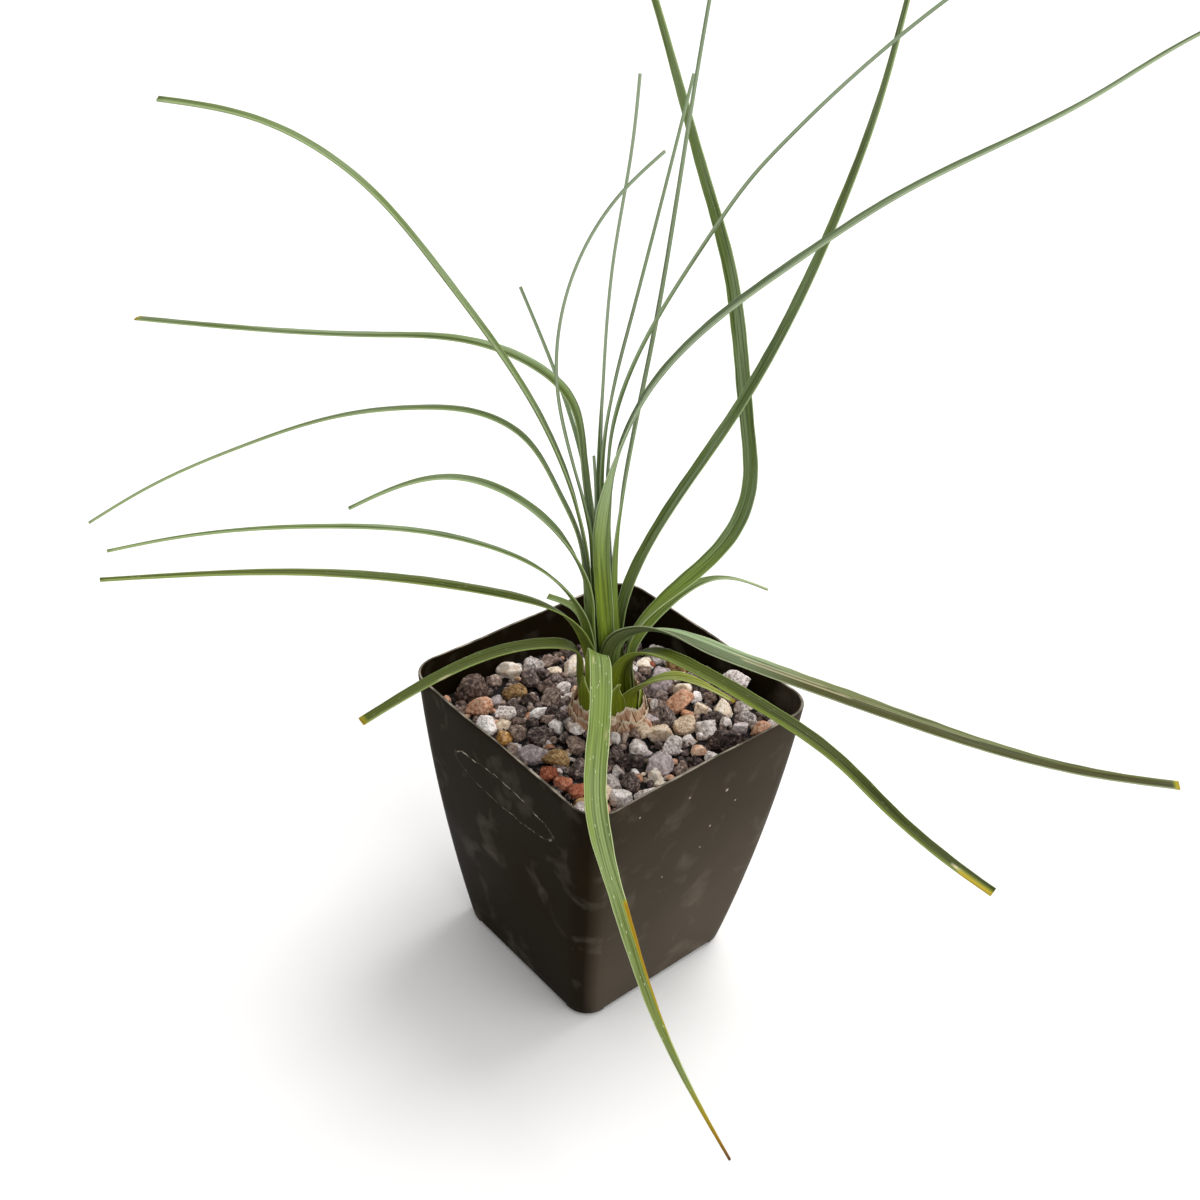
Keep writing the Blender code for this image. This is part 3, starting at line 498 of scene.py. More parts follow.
def blade_growth():
    """The ribbed, keeled blade: a closed skin round the guide, thickest in the middle."""
    tree, add, given = new_growth("ribbed_blade", "Columns", "Ribs", "Thickness", "Rib Height", "Crease",
                                  "Dim Side", "Number")
    guide = given["Geometry"]
    count = add("GeometryNodeAttributeDomainSize", [guide], component="MESH")
    around = add(MATH, [given["Columns"], 2.0, 1.0], "MULTIPLY_ADD")
    skin = add("GeometryNodeMeshGrid", {"Vertices X": around, "Vertices Y": count})

    # the grid's points run along the blade column by column, first over the back, then over the front
    index = add("GeometryNodeInputIndex")
    shifted = add(MATH, [index, 0.5], "ADD")
    column = add(MATH, [add(MATH, [shifted, count], "DIVIDE")], "FLOOR")
    before = add(MATH, [column, count], "MULTIPLY")
    station = add(MATH, [index, before], "SUBTRACT")
    round_share = add(MATH, [column, given["Columns"]], "DIVIDE")
    across = add(MATH, [round_share, 1.0], "PINGPONG")
    is_front = add(MATH, [round_share, 1.0], "GREATER_THAN")
    face = add(MATH, [is_front, -2.0, 1.0], "MULTIPLY_ADD")

    guided = {}
    for name in GUIDED:
        kind = "FLOAT_VECTOR" if name.endswith("way") else "FLOAT"
        value = add(READ, {"Name": name}, data_type=kind)
        guided[name] = add(SAMPLE, [guide, value, station], data_type=kind, domain="POINT")
    place = add(SAMPLE, [guide, add("GeometryNodeInputPosition"), station], data_type="FLOAT_VECTOR",
                domain="POINT")

    off_middle = add(MATH, [across, 0.5], "SUBTRACT")
    from_crease = add(MATH, [off_middle, 2.0, add(MATH, [given["Crease"], -1.0], "MULTIPLY")],
                      "MULTIPLY_ADD")
    reach = add(MATH, [off_middle, guided["width"]], "MULTIPLY")
    bow = add(MATH, [reach, guided["curl"]], "MULTIPLY")

    # thickness, even over most of the width and rounded at the margins, with the ribs on it
    edge = add(MATH, [add(MATH, [off_middle, 2.0], "MULTIPLY")], "ABSOLUTE")
    full = add(MATH, [add(MATH, [edge, 3.0], "POWER"), -1.0, 1.0], "MULTIPLY_ADD")
    swell = add(MATH, [add(MATH, [full, 0.0], "MAXIMUM")], "SQRT")
    phase = add(MATH, [add(MATH, [off_middle, given["Ribs"]], "MULTIPLY"), math.tau], "MULTIPLY")
    wave = add(MATH, [phase], "COSINE")
    rib = add(MATH, [wave, given["Rib Height"]], "MULTIPLY")
    half = add(MATH, [given["Thickness"], 0.5, rib], "MULTIPLY_ADD")
    height = add(MATH, [add(MATH, [half, swell], "MULTIPLY"), guided["fullness"]], "MULTIPLY")

    # the keel: the two halves of the blade rise from the crease, which stays rounded
    squared = add(MATH, [from_crease, from_crease, 0.008], "MULTIPLY_ADD")
    slope = add(MATH, [add(MATH, [squared], "SQRT"), -1.0, 0.5], "MULTIPLY_ADD")
    sink = add(MATH, [slope, guided["keel"]], "MULTIPLY")
    lift = add(MATH, [height, face, sink], "MULTIPLY_ADD")
    bend = add(MATH, [1.0, guided["curl"]], "DIVIDE")
    radius = add(MATH, [bend, lift], "ADD")

    backward, sideward = (
        add(VECTOR, {"Vector": guided[way], "Scale": add(MATH, [bow], part)}, "SCALE")
        for way, part in (("back_way", "COSINE"), ("width_way", "SINE")))
    radial = add(VECTOR, [backward, sideward], "ADD")
    to_centre = add(VECTOR, {"Vector": guided["back_way"], "Scale": bend}, "SCALE")
    centre = add(VECTOR, [place, to_centre], "SUBTRACT")
    outward = add(VECTOR, {"Vector": radial, "Scale": radius}, "SCALE")
    spot = add(VECTOR, [centre, outward], "ADD")
    shaped = add("GeometryNodeSetPosition", {"Geometry": skin, "Position": spot})

    # what the finish reads: the blade's own UV, millimetres across and along, ribs, margin, and painted
    # shade on one side of the crease and along it
    uv = add(JOIN, [across, guided["share"]])
    across_mm = add(MATH, [reach, 1 / MM], "MULTIPLY")
    grain = add(JOIN, [across_mm, guided["distance"], given["Number"]])
    to_edge = add(MATH, [add(MATH, [1.0, edge], "SUBTRACT"), guided["width"]], "MULTIPLY")
    edge_mm = add(MATH, [to_edge, 0.5 / MM], "MULTIPLY")
    # painted shade: one side of the crease is darkened as the fold would be shaded, and a thin dark line of
    # painted shade runs along the crease
    sided = add(MATH, [from_crease, given["Dim Side"]], "MULTIPLY")
    dim = add(RANGE, [sided, -0.06, 0.12])
    off_crease = add(MATH, [from_crease], "ABSOLUTE")
    fold = add(RANGE, [off_crease, 0.12, 0.02, 0.0, 0.5])
    dim = add(MATH, [dim, fold], "MAXIMUM")
    form = add(JOIN, [wave, edge_mm, dim])
    stored = [("blade", uv, "FLOAT2", "CORNER"), ("grain", grain, "FLOAT_VECTOR", "POINT"),
              ("form", form, "FLOAT_VECTOR", "POINT")]
    for name, value, kind, where in stored:
        shaped = add(STORE, {"Geometry": shaped, "Name": name, "Value": value}, data_type=kind, domain=where)
    closed = add("GeometryNodeMergeByDistance", {"Geometry": shaped, "Distance": 0.004 * MM})
    smooth = add("GeometryNodeSetShadeSmooth", {"Geometry": closed, "Shade Smooth": True})
    end_growth(add, smooth, given["Material"])
    return tree


# Leaf skins: (young, grown, faded, shade, margin) colours, where along the blade (mm) young turns to grown,
# how much pale wax it carries, how flecked it is, and between which shares of the length it fades
Skin = namedtuple("Skin", "young grown faded shade margin turn wax flecks turned", defaults=((0.3, 0.8),))
# VEIN_DEPTH also sets how dark the painted shade in the valleys between the ribs is
VEIN_DEPTH = 0.4            # how dark the veins are beside the shaded side of the blade
SKINS = {
    "olive": Skin("78841a", "63702a", "79844a", "3e480c", "93a35c", (12, 34), 0.1, 0.15),
    "ripe": Skin("76831c", "6e7c2c", "4e5810", "242c02", "8c9a50", (12, 34), 0.08, 0.1),
    "grey": Skin("7c9030", "6c8040", "7f8e60", "445218", "a8ba84", (20, 60), 0.45, 0.08),
    "waxy": Skin("7f9430", "9aac88", "5f6d3e", "4c5c32", "b5c4a0", (40, 85), 0.4, 0.05),
    "broad": Skin("859840", "95a97e", "64652f", "2a2804", "aab28c", (14, 40), 0.2, 0.05, (0.34, 0.44)),
    "bright": Skin("7e8c1c", "98b052", "dce070", "66701a", "ccd68a", (8, 20), 0.05, 0.1),
    "young": Skin("6f8228", "728a44", "8c978a", "50622e", "98a888", (30, 75), 0.15, 0.0),
    "front": Skin("75841a", "83974c", "7a7c2e", "60722e", "c0cc96", (14, 30), 0.3, 0.5),
}


def leaf_finish(name, skin):
    """Living leaf skin: waxy, ribbed along its length, yellow-green where it clasps, with pale margins."""
    made, add, shader = new_finish(name, IOR=1.42, Specular_IOR_Level=0.14, Subsurface_Weight=0.08,
                                   Subsurface_Radius=(0.4 * MM, 0.9 * MM, 0.2 * MM), Subsurface_Scale=1.0)
    grain = add(ATTRIBUTE, attribute_name="grain").outputs["Vector"]
    along = add(SPLIT, [grain]).outputs["Y"]
    form, wear = (add(SPLIT, [add(ATTRIBUTE, attribute_name=part).outputs["Vector"]]).outputs
                  for part in ("form", "wear"))

    # veins about 0.6 mm apart that run for 30 mm or more, cloudy patches 3 mm wide, fine relief, and flecks
    places = [add(MAPPING, {"Vector": grain, "Scale": scale}) for scale in
              ((1.7, 0.035, 7.3), (0.3, 0.03, 3.1), (7.0, 0.3, 3.0), (1.1, 0.37, 5.0))]
    streak, patch, relief = (add(NOISE, {"Vector": place, "Scale": 1.0, "Detail": detail})
                             for place, detail in zip(places, (3.0, 2.0, 2.0)))
    speck = add(CELLS, {"Vector": places[3], "Scale": 1.0}).outputs["Distance"]
    age = add(RANGE, [along, *skin.turn])
    wax = add(MATH, [add(RANGE, [patch, 0.4, 0.62, 0.0, skin.wax]), age], "MULTIPLY")
    # painted shade, in the shade colour, over the darker side of the crease and along the crease line
    dim = add(MATH, [form["Z"], 0.6], "MULTIPLY")
    vein_and_valley_shade = [part * VEIN_DEPTH for part in linear(skin.shade)[:3]] + [1]
    stripe = add(RANGE, [streak, 0.5, 0.62, 0.0, 0.55])
    # painted shade in the valleys between the ribs, deeper on the side of the crease that carries painted
    # shade
    painted_valley_shade = add(RANGE, [form["X"], -0.2, -1.0, 0.0, 0.32])
    painted_valley_shade = add(MATH, [painted_valley_shade, add(MATH, [form["Z"], 0.9, 1.0], "MULTIPLY_ADD")], "MULTIPLY")
    rim = add(RANGE, [form["Y"], 0.27, 0.1, 0.0, 0.75])
    fleck = add(RANGE, [speck, 0.17, 0.1, 0.0, skin.flecks])
    withered = add(RAMP, [wear["Y"]],
                   stops=[(0.0, "8f9a34"), (1.0, "6d452a"), (0.45, "a5932c"), (0.75, "a07c1c")])
    dry = add(RANGE, [wear["Y"], 0.0, 0.35])
    body = layered(add, linear(skin.young), [
        (age, skin.grown), (wear["Z"], skin.faded), (wax, "a6b896"), (dim, skin.shade), (stripe, vein_and_valley_shade),
        (painted_valley_shade, vein_and_valley_shade), (rim, skin.margin), (fleck, "cfd8b4"), (wear["X"], "cbbf98"), (dry, withered)])
    gloss = add(RANGE, [streak, 0.3, 0.7, 0.38, 0.54])
    bump = add(BUMP, {"Strength": 0.4, "Distance": 0.05 * MM, "Height": relief})
    feed(shader, {"Base Color": body, "Roughness": gloss, "Normal": bump})
    return made


def mark_blade(mesh, look):
    """Writes how scarred, how dry and how faded each point of a blade is, from 0 to 1."""
    grain = np.zeros(len(mesh.vertices) * 3, np.float32)
    mesh.attributes["grain"].data.foreach_get("vector", grain)
    across, along, _ = grain.reshape(-1, 3).T
    length = along.max()
    spots = []
    for places in (look.scars, look.withered):
        amount = np.zeros(len(across))
        for start, end, middle, width, strength in places:
            lengthwise = np.clip((along - start) * 2 + 1, 0, 1) * np.clip((end - along) * 0.7 + 1, 0, 1)
            sideways = np.clip(1.5 - np.abs(across - middle) / width * 1.5, 0, 1)
            amount = np.maximum(amount, strength * lengthwise * sideways)
        spots.append(amount)
    tip_length, tip_strength = look.dry
    tip = tip_strength * np.clip((along - length) / tip_length + 1, 0, 1)
    dry = np.maximum(spots[1], tip)
    start, end = SKINS[look.finish].turned
    faded = look.far * np.clip((along / length - start) / (end - start), 0, 1)
    wear = np.column_stack([spots[0], dry, faded]).astype(np.float32)
    mesh.attributes.new("wear", "FLOAT_VECTOR", "POINT").data.foreach_set("vector", wear.ravel())


def build_leaves():
    """Every blade of the bundle, each in the finish of its kind."""
    tree = blade_growth()
    finishes = {name: leaf_finish(name + "_leaf_skin", skin) for name, skin in SKINS.items()}
    for number, leaf in enumerate(LEAVES + SCALES):
        ribs = max(round(leaf.width / RIB_WIDTH), 3)
        mesh = grow_mesh(tree, blade_guide(leaf, number), {
            "Columns": float(ribs * RIB_COLUMNS), "Ribs": float(ribs), "Thickness": BLADE * MM,
            "Rib Height": RIB_HEIGHT * MM, "Crease": leaf.look.crease, "Dim Side": float(leaf.look.dim),
            "Number": float(number), "Material": finishes[leaf.look.finish]})
        mark_blade(mesh, leaf.look)
        stands_for = [leaf.name] if leaf in LEAVES else []
        add_piece(leaf.name + "_blade", mesh, "leaf_green", *stands_for)


# Pot

CORNER_STEPS = 9
SIDE_STEPS = 12
WALL_ROWS = 36


def wall_half(height):
    """Outside half width of the pot at a height."""
    drop = 1 - height / POT_HEIGHT
    return RIM_HALF - (RIM_HALF - FOOT_HALF) * (drop + WALL_BULGE * (drop * drop - drop))


def wall_corner(height):
    """Outside corner radius of the pot at a height."""
    return RIM_CORNER + (FOOT_CORNER - RIM_CORNER) * (1 - height / POT_HEIGHT)


def square_loop(half, corner, height):
    """Loop of a square with round corners, counter-clockwise from above."""
    loop = []
    for quarter in range(4):
        middle = 45 + 90 * quarter
        center = direction(middle) * (half - corner) * math.sqrt(2)
        arc = [center + direction(middle - 45 + 90 * k / CORNER_STEPS) * corner
               for k in range(CORNER_STEPS + 1)]
        onward = direction(middle + 45) * corner + direction(middle + 90) * (half - corner) * math.sqrt(2)
        loop += arc + [arc[-1] + (onward - arc[-1]) * k / SIDE_STEPS for k in range(1, SIDE_STEPS)]
    return [(x, y, height) for x, y, _ in loop]


def wall_loop(height, inset):
    """Loop of the pot's wall at a height, moved inwards."""
    return square_loop(wall_half(height) - inset, wall_corner(height) - inset, height)


def warped(loop):
    """A wall's loop with the small waves of thin moulded plastic, strongest at the rim."""
    made = []
    for x, y, z in loop:
        angle = math.atan2(y, x)
        amount = (z / POT_HEIGHT) ** 3
        wave = 0.16 * math.sin(5 * angle + 0.7) + 0.1 * math.sin(11 * angle + 2.1)
        dip = 0.05 * math.sin(7 * angle + 1.3) + 0.03 * math.sin(13 * angle)
        grow = 1 + amount * wave / RIM_HALF
        made.append((x * grow, y * grow, z + amount * dip))
    return made


def channel_cutter():
    """The channels between the corner feet and the middle pad, as one slab with a hole."""
    lines = [-RIM_HALF, -FOOT_START, -PAD_HALF, PAD_HALF, FOOT_START, RIM_HALF]
    slab = bmesh.new()
    corners = [[slab.verts.new((x * MM, y * MM, -FOOT_GAP * MM)) for x in lines] for y in lines]
    for row in range(5):
        for column in range(5):
            is_foot = row in (0, 4) and column in (0, 4)
            is_pad = row == 2 and column == 2
            if not is_foot and not is_pad:
                slab.faces.new([corners[row][column], corners[row][column + 1],
                                corners[row + 1][column + 1], corners[row + 1][column]])
    bmesh.ops.delete(slab, geom=[vert for vert in slab.verts if not vert.link_faces], context="VERTS")
    raised = bmesh.ops.extrude_face_region(slab, geom=slab.faces[:])["geom"]
    for part in raised:
        if isinstance(part, bmesh.types.BMVert):
            part.co.z = FOOT_GAP * MM
    bmesh.ops.recalc_face_normals(slab, faces=slab.faces)
    return slab


def drain_cutter():
    """Four upright pins that bore the drain holes."""
    pins = bmesh.new()
    for turn in range(4):
        pin = bmesh.ops.create_cone(pins, cap_ends=True, segments=40, radius1=DRAIN_RADIUS * MM,
                                    radius2=DRAIN_RADIUS * MM, depth=4 * FLOOR_TOP * MM)
        bmesh.ops.translate(pins, verts=pin["verts"], vec=direction(90 * turn) * DRAIN_REACH * MM)
    return pins


def cut_mesh(mesh, cutters):
    """The mesh without what its cutters cover."""
    body = show("cut_body", mesh)
    tools = []
    for cutter in cutters:
        tool_mesh = bpy.data.meshes.new("cutter")
        cutter.to_mesh(tool_mesh)
        cutter.free()
        tool = show("cutter", tool_mesh)
        tools.append(tool)
        modifier = body.modifiers.new("cut", "BOOLEAN")
        modifier.operation = "DIFFERENCE"
        modifier.object = tool
        modifier.solver = "EXACT"
    depsgraph = bpy.context.evaluated_depsgraph_get()
    made = bpy.data.meshes.new_from_object(body.evaluated_get(depsgraph), depsgraph=depsgraph)
    for leftover in [body, *tools]:
        bpy.data.objects.remove(leftover)
    shape = bmesh.new()
    shape.from_mesh(made)
    bmesh.ops.remove_doubles(shape, verts=shape.verts, dist=0.001 * MM)
    shape.to_mesh(made)
    shape.free()
    return made


# Marks of wear in millimetres: pale flecks on the right wall (x, z, radius), and the long oval scratch on
# the left wall (y and z of its middle, half its length and half its height)
FLECKS = [(8.4, 71.4, 0.6), (-5.4, 76.3, 0.4), (4.8, 60.5, 0.4), (-22.3, 79.1, 0.35), (2.7, 53.8, 0.3),
          (-9.9, 50.3, 0.3), (12.6, 65.5, 0.35)]
SCRATCH = (-2, 69.5, 20, 4.6)


def pot_finish():
    """Recycled polypropylene, injection moulded: almost black, with dust and a painted reflection on one
    side, and a worn rim that carries a painted highlight.
    """
    made, add, shader = new_finish("moulded_polypropylene", IOR=1.49, Specular_IOR_Level=0.012)
    place = add("ShaderNodeTexCoord").outputs["Object"]
    spot = add(SPLIT, [place]).outputs
    cloud, chips, scuffs, dashes, relief = (
        add(NOISE, {"Vector": place, "Scale": scale, "Detail": detail, "Distortion": twist})
        for scale, detail, twist in ((28.0, 3.0, 0.0), (190.0, 4.0, 0.0), (90.0, 5.0, 0.4),
                                     (420.0, 1.0, 0.0), (900.0, 2.0, 0.0)))

    # dust and a painted reflection of the pale floor on the right wall, stronger towards its lower right
    dust_and_reflection = add(RANGE, [add(MATH, [spot["X"], spot["Y"]], "SUBTRACT"), -1 * MM, 5 * MM])
    in_front = add(RANGE, [spot["Y"], -24 * MM, -27 * MM])
    slant = add(MATH, [spot["X"], -0.6, spot["Z"]], "MULTIPLY_ADD")
    stronger_lower_right = add(RANGE, [slant, 90 * MM, 20 * MM, 0.26, 0.7])
    for part in (in_front, stronger_lower_right, add(RANGE, [cloud, 0.3, 0.7, 0.7, 1.0])):
        dust_and_reflection = add(MATH, [dust_and_reflection, part], "MULTIPLY")

    # the rim's crest is painted pale, partly rubbed wear and partly a painted highlight, and the walls carry
    # their flecks, scuffs and the scratch
    crest = add(RANGE, [spot["Z"], 85.82 * MM, 85.96 * MM])
    marks = [add(MATH, [crest, add(RANGE, [chips, 0.4, 0.62, 0.25, 0.9])], "MULTIPLY")]
    flat = add(VECTOR, [place, (1.0, 0.0, 1.0)], "MULTIPLY")
    for x, z, radius in FLECKS:
        away = add(VECTOR, [flat, (x * MM, 0.0, z * MM)], "DISTANCE")
        fleck = add(RANGE, [away, radius * MM, 0.4 * radius * MM])
        marks.append(add(MATH, [fleck, in_front], "MULTIPLY"))
    marks.append(add(RANGE, [scuffs, 0.55, 0.75, 0.0, 0.1]))
    middle_y, middle_z, half_length, half_height = SCRATCH
    oval = add(MAPPING, {"Vector": place, "Scale": (0.0, 1 / (half_length * MM), 1 / (half_height * MM)),
                         "Location": (0.0, -middle_y / half_length, -middle_z / half_height)})
    wobble = add(MATH, [chips, 0.55, -0.28], "MULTIPLY_ADD")
    ring = add(MATH, [add(VECTOR, [oval], "LENGTH"), wobble], "ADD")
    off_ring = add(MATH, [add(MATH, [ring, 1.0], "SUBTRACT")], "ABSOLUTE")
    line = add(RANGE, [off_ring, 0.04, 0.012])
    dashed = add(RANGE, [dashes, 0.48, 0.6, 0.08])
    fading = add(RANGE, [spot["Z"], 66 * MM, 73 * MM, 0.35, 0.9])
    on_left = add(RANGE, [spot["X"], -30 * MM, -33 * MM])
    for part in (dashed, fading, on_left):
        line = add(MATH, [line, part], "MULTIPLY")
    worn = line
    for mark in marks:
        worn = add(MATH, [worn, mark], "MAXIMUM")
    body = layered(add, linear("130e06"), [(cloud, "221a0d"), (dust_and_reflection, "5d5448"), (worn, "b0a696")])
    gloss = add(RANGE, [cloud, 0.3, 0.7, 0.34, 0.5])
    bump = add(BUMP, {"Strength": 0.15, "Distance": 0.05 * MM, "Height": relief})
    feed(shader, {"Base Color": body, "Roughness": gloss, "Normal": bump})
    return made


def build_pot():
    """Thin tapered square pot on four corner feet and a middle pad."""
    loops = []
    for degrees in range(0, 90, 15):
        angle = math.radians(degrees)
        loops.append(wall_loop(FOOT_FILLET * (1 - math.cos(angle)), FOOT_FILLET * (1 - math.sin(angle))))
    edge = WALL / 2
    top = POT_HEIGHT - edge
    # the first loop lies above the channels' roof, so that the cut meets no edge that runs along it
    loops += [warped(wall_loop(FOOT_FILLET + (top - FOOT_FILLET) * k / WALL_ROWS, 0))
              for k in range(1, WALL_ROWS + 1)]
    for degrees in range(30, 180, 30):
        angle = math.radians(degrees)
        loops.append(warped(wall_loop(top + edge * math.sin(angle), edge * (1 - math.cos(angle)))))
    loops += [warped(wall_loop(top + (FLOOR_TOP - top) * k / WALL_ROWS, WALL)) for k in range(WALL_ROWS + 1)]
    finish = pot_finish()
    mesh = solid_mesh("pot_wall", *loft(loops), finish)
    mesh = cut_mesh(mesh, [channel_cutter(), drain_cutter()])
    finish_mesh(mesh, finish, 35)
    add_piece("moulded_pot", mesh, "pot_plastic", "pot")


# Caudex

def caudex_radius(radius, degrees, height):
    """The swollen base isn't round: three low lobes that turn with the height."""
    lobes = math.sin(math.radians(3 * degrees + 4 * height))
    return radius * (1 + 0.025 * lobes)


# Outside of the dry collar, (radius, height): widest in the gravel and drawn in round the leaves
COLLAR_PROFILE = [(10.7, 64), (10.9, 70), (10.6, 75), (10.1, 77.5), (9.35, 80), (9.0, 82), (8.8, 84),
                  (8.7, 90)]

# Papery sheaths: middle angle, half span, how far outside the innermost layer, height of the torn edge,
# height of its points, how far they lean out, and how many points it is torn into
Sheath = namedtuple("Sheath", "angle span layer edge points lean tears")
SHEATHS = [Sheath(*row) for row in [
    (-165, 48, 0, 82.6, 2.0, 0.1, 3), (-112, 42, 0.1, 82.8, 2.6, 0.2, 2), (-55, 50, 0, 82.2, 2.4, 0.4, 3),
    (10, 52, 0.1, 82.4, 2.0, 0.2, 3), (75, 50, 0, 82.0, 2.4, 0.2, 3), (140, 46, 0.1, 82.2, 2.0, 0.1, 3),
    (-140, 38, 0.3, 80.8, 1.8, 0.5, 2), (-84, 36, 0.35, 80.2, 2.2, 0.6, 2),
    (-22, 44, 0.3, 79.8, 2.0, 0.6, 3), (50, 46, 0.35, 80.0, 2.0, 0.3, 3),
    (112, 44, 0.3, 79.6, 2.0, 0.3, 2), (178, 40, 0.35, 80.0, 2.2, 0.8, 2),
    (-120, 30, 0.6, 78.0, 1.6, 1.0, 2), (-62, 34, 0.6, 77.6, 1.8, 0.8, 2),
    (-168, 28, 0.65, 77.6, 1.6, 1.2, 2), (0, 60, 0.6, 77.0, 2.0, 0.5, 4),
    (105, 55, 0.6, 76.8, 2.0, 0.5, 4),
]]
SHEATH_SEED = 100
SHEATH_FOOT = 66
SHEATH_THICKNESS = 0.2
SHEATH_COLUMNS = 56
SHEATH_ROWS = 22
CAUDEX_COLUMNS = 96
CAUDEX_ROWS = 30
CORE_INSET = 0.6           # how far the core lies under the outside of the sheaths
CROWN = [(9.0, 79.2), (8.4, CROWN_HEIGHT)]


def sheath_layer(sheath, number):
    """Points and faces of one dry sheath: a rippled sheet round the caudex with a torn upper edge."""
    draw = random.Random(SHEATH_SEED + number)
    phases = [draw.uniform(0, math.tau) for _ in range(6)]
    peaks = [(k + draw.uniform(0.2, 0.8)) / sheath.tears for k in range(sheath.tears)]
    heights = [draw.uniform(0.3, 1.4) for _ in peaks]
    collar_radii, collar_heights = zip(*COLLAR_PROFILE)
    points = []
    below_edge = []
    for side in (1, 0):
        for row in range(SHEATH_ROWS + 1):
            up = row / SHEATH_ROWS
            for column in range(SHEATH_COLUMNS + 1):
                share = column / SHEATH_COLUMNS
                torn = max(height * max(1 - abs(share - peak) * 1.5 * sheath.tears, 0) ** 1.1
                           for peak, height in zip(peaks, heights))
                ragged = 0.25 * math.sin(37 * share + phases[0]) + 0.18 * math.sin(71 * share + phases[1])
                ends = math.sin(math.pi * share) ** 0.5
                top = sheath.edge - 3.0 * (1 - ends) + sheath.points * torn + ragged
                height = SHEATH_FOOT + (top - SHEATH_FOOT) * up
                degrees = sheath.angle + sheath.span * (2 * share - 1)
                ripple = 0.05 * math.sin(60 * share * sheath.span / 50 + phases[2])
                ripple += 0.09 * math.sin(19 * share + 0.25 * height + phases[3])
                wave = 0.16 * math.sin(9 * share + phases[4]) * up ** 3
                lean = sheath.lean * max(up - 0.6, 0) ** 2 * 6
                collar = np.interp(height, collar_heights, collar_radii)
                radius = collar + sheath.layer + ripple + wave + lean
                thin = SHEATH_THICKNESS * (1 - 0.6 * up) * side
                shift = direction(LEAN_HEADING) * LEAN * max(height - LEAF_BASE, 0)
                x, y, _ = direction(degrees) * (radius + thin) + shift
                points.append((x, y, height))
                below_edge.append(top - height)
    width = SHEATH_COLUMNS + 1
    back = width * (SHEATH_ROWS + 1)

    def at(row, column, inner):
        return row * width + column + inner * back

    faces = []
    for row in range(SHEATH_ROWS):
        onward = row + 1
        for column in range(SHEATH_COLUMNS):
            for inner in (0, 1):
                faces.append([at(row, column, inner), at(row, column + 1, inner),
                              at(onward, column + 1, inner), at(onward, column, inner)])
        for column in (0, SHEATH_COLUMNS):
            faces.append([at(row, column, 0), at(onward, column, 0),
                          at(onward, column, 1), at(row, column, 1)])
    for column in range(SHEATH_COLUMNS):
        onward = column + 1
        for row in (0, SHEATH_ROWS):
            faces.append([at(row, column, 0), at(row, onward, 0), at(row, onward, 1), at(row, column, 1)])
    return points, faces, below_edge


def papery_finish():
    """Dead leaf bases: tan paper with a silky gloss, brown nerves that run up it and pale torn edges."""
    made, add, shader = new_finish("dry_papery_sheath", Roughness=0.6, IOR=1.45, Specular_IOR_Level=0.3)
    place = add("ShaderNodeTexCoord").outputs["Object"]
    spot = add(SPLIT, [place]).outputs
    angle = add(MATH, [spot["Y"], spot["X"]], "ARCTAN2")
    # nerves are about 0.5 mm apart on a radius of 9 mm, 20 mm long and aslant
    slant = add(MATH, [spot["Z"], 700.0], "MULTIPLY")
    wrapped = add(JOIN, [add(MATH, [angle, 20.0, slant], "MULTIPLY_ADD"),
                         add(MATH, [spot["Z"], 60.0], "MULTIPLY")])
    nerve = add(NOISE, {"Vector": wrapped, "Scale": 1.0, "Detail": 4.0, "Roughness": 0.6})
    blotch = add(NOISE, {"Vector": place, "Scale": 260.0, "Detail": 3.0})
    paper = add(RAMP, [nerve],
                stops=[(0.36, "402818"), (0.66, "efd6b8"), (0.42, "94684a"), (0.52, "cca282")])
    torn = add(ATTRIBUTE, attribute_name="below_edge").outputs["Fac"]
    body = layered(add, paper, [(add(RANGE, [torn, 1.3, 0.3, 0.0, 0.9]), "f4e6cc"),
                                (add(RANGE, [blotch, 0.5, 0.66, 0.0, 0.5]), "7a5638")])
    bump = add(BUMP, {"Strength": 0.6, "Distance": 0.12 * MM, "Height": nerve})
    feed(shader, {"Base Color": body, "Normal": bump})
    return made


def build_caudex():
    """Swollen base with its crown, wrapped in dry sheaths."""
    finish = papery_finish()
    loops = []
    heights = np.linspace(CAUDEX_PROFILE[0][1], CAUDEX_PROFILE[-1][1], CAUDEX_ROWS)
    radii = np.interp(heights, [h for _, h in CAUDEX_PROFILE], [r for r, _ in CAUDEX_PROFILE])
    for radius, height in [*zip(radii - CORE_INSET, heights), *CROWN]:
        turns = [360 * k / CAUDEX_COLUMNS for k in range(CAUDEX_COLUMNS)]
        loops.append([tuple(direction(t)[:2] * caudex_radius(radius, t, height)) + (height,) for t in turns])
    points, faces = loft(loops)
    below_edge = [CROWN_HEIGHT] * len(points)
    for number, sheath in enumerate(SHEATHS):
        more_points, more_faces, depths = sheath_layer(sheath, number)
        faces += [[index + len(points) for index in face] for face in more_faces]
        points += more_points
        below_edge += depths
    mesh = solid_mesh("papery_base", points, faces, finish, 60)
    mesh.attributes.new("below_edge", "FLOAT", "POINT").data.foreach_set("value", below_edge)
    add_piece("papery_base", mesh, "papery_sheath", "caudex")


# Gravel

def bed_level(x, y):
    """Height of the bed between the stones."""
    away = math.dist((x, y), HOLLOW_PLACE) / HOLLOW_REACH
    hollow = HOLLOW_DEPTH * math.exp(-away * away / 2)
    return BED_HEIGHT + BED_SLOPE_X * x + BED_SLOPE_Y * y - hollow


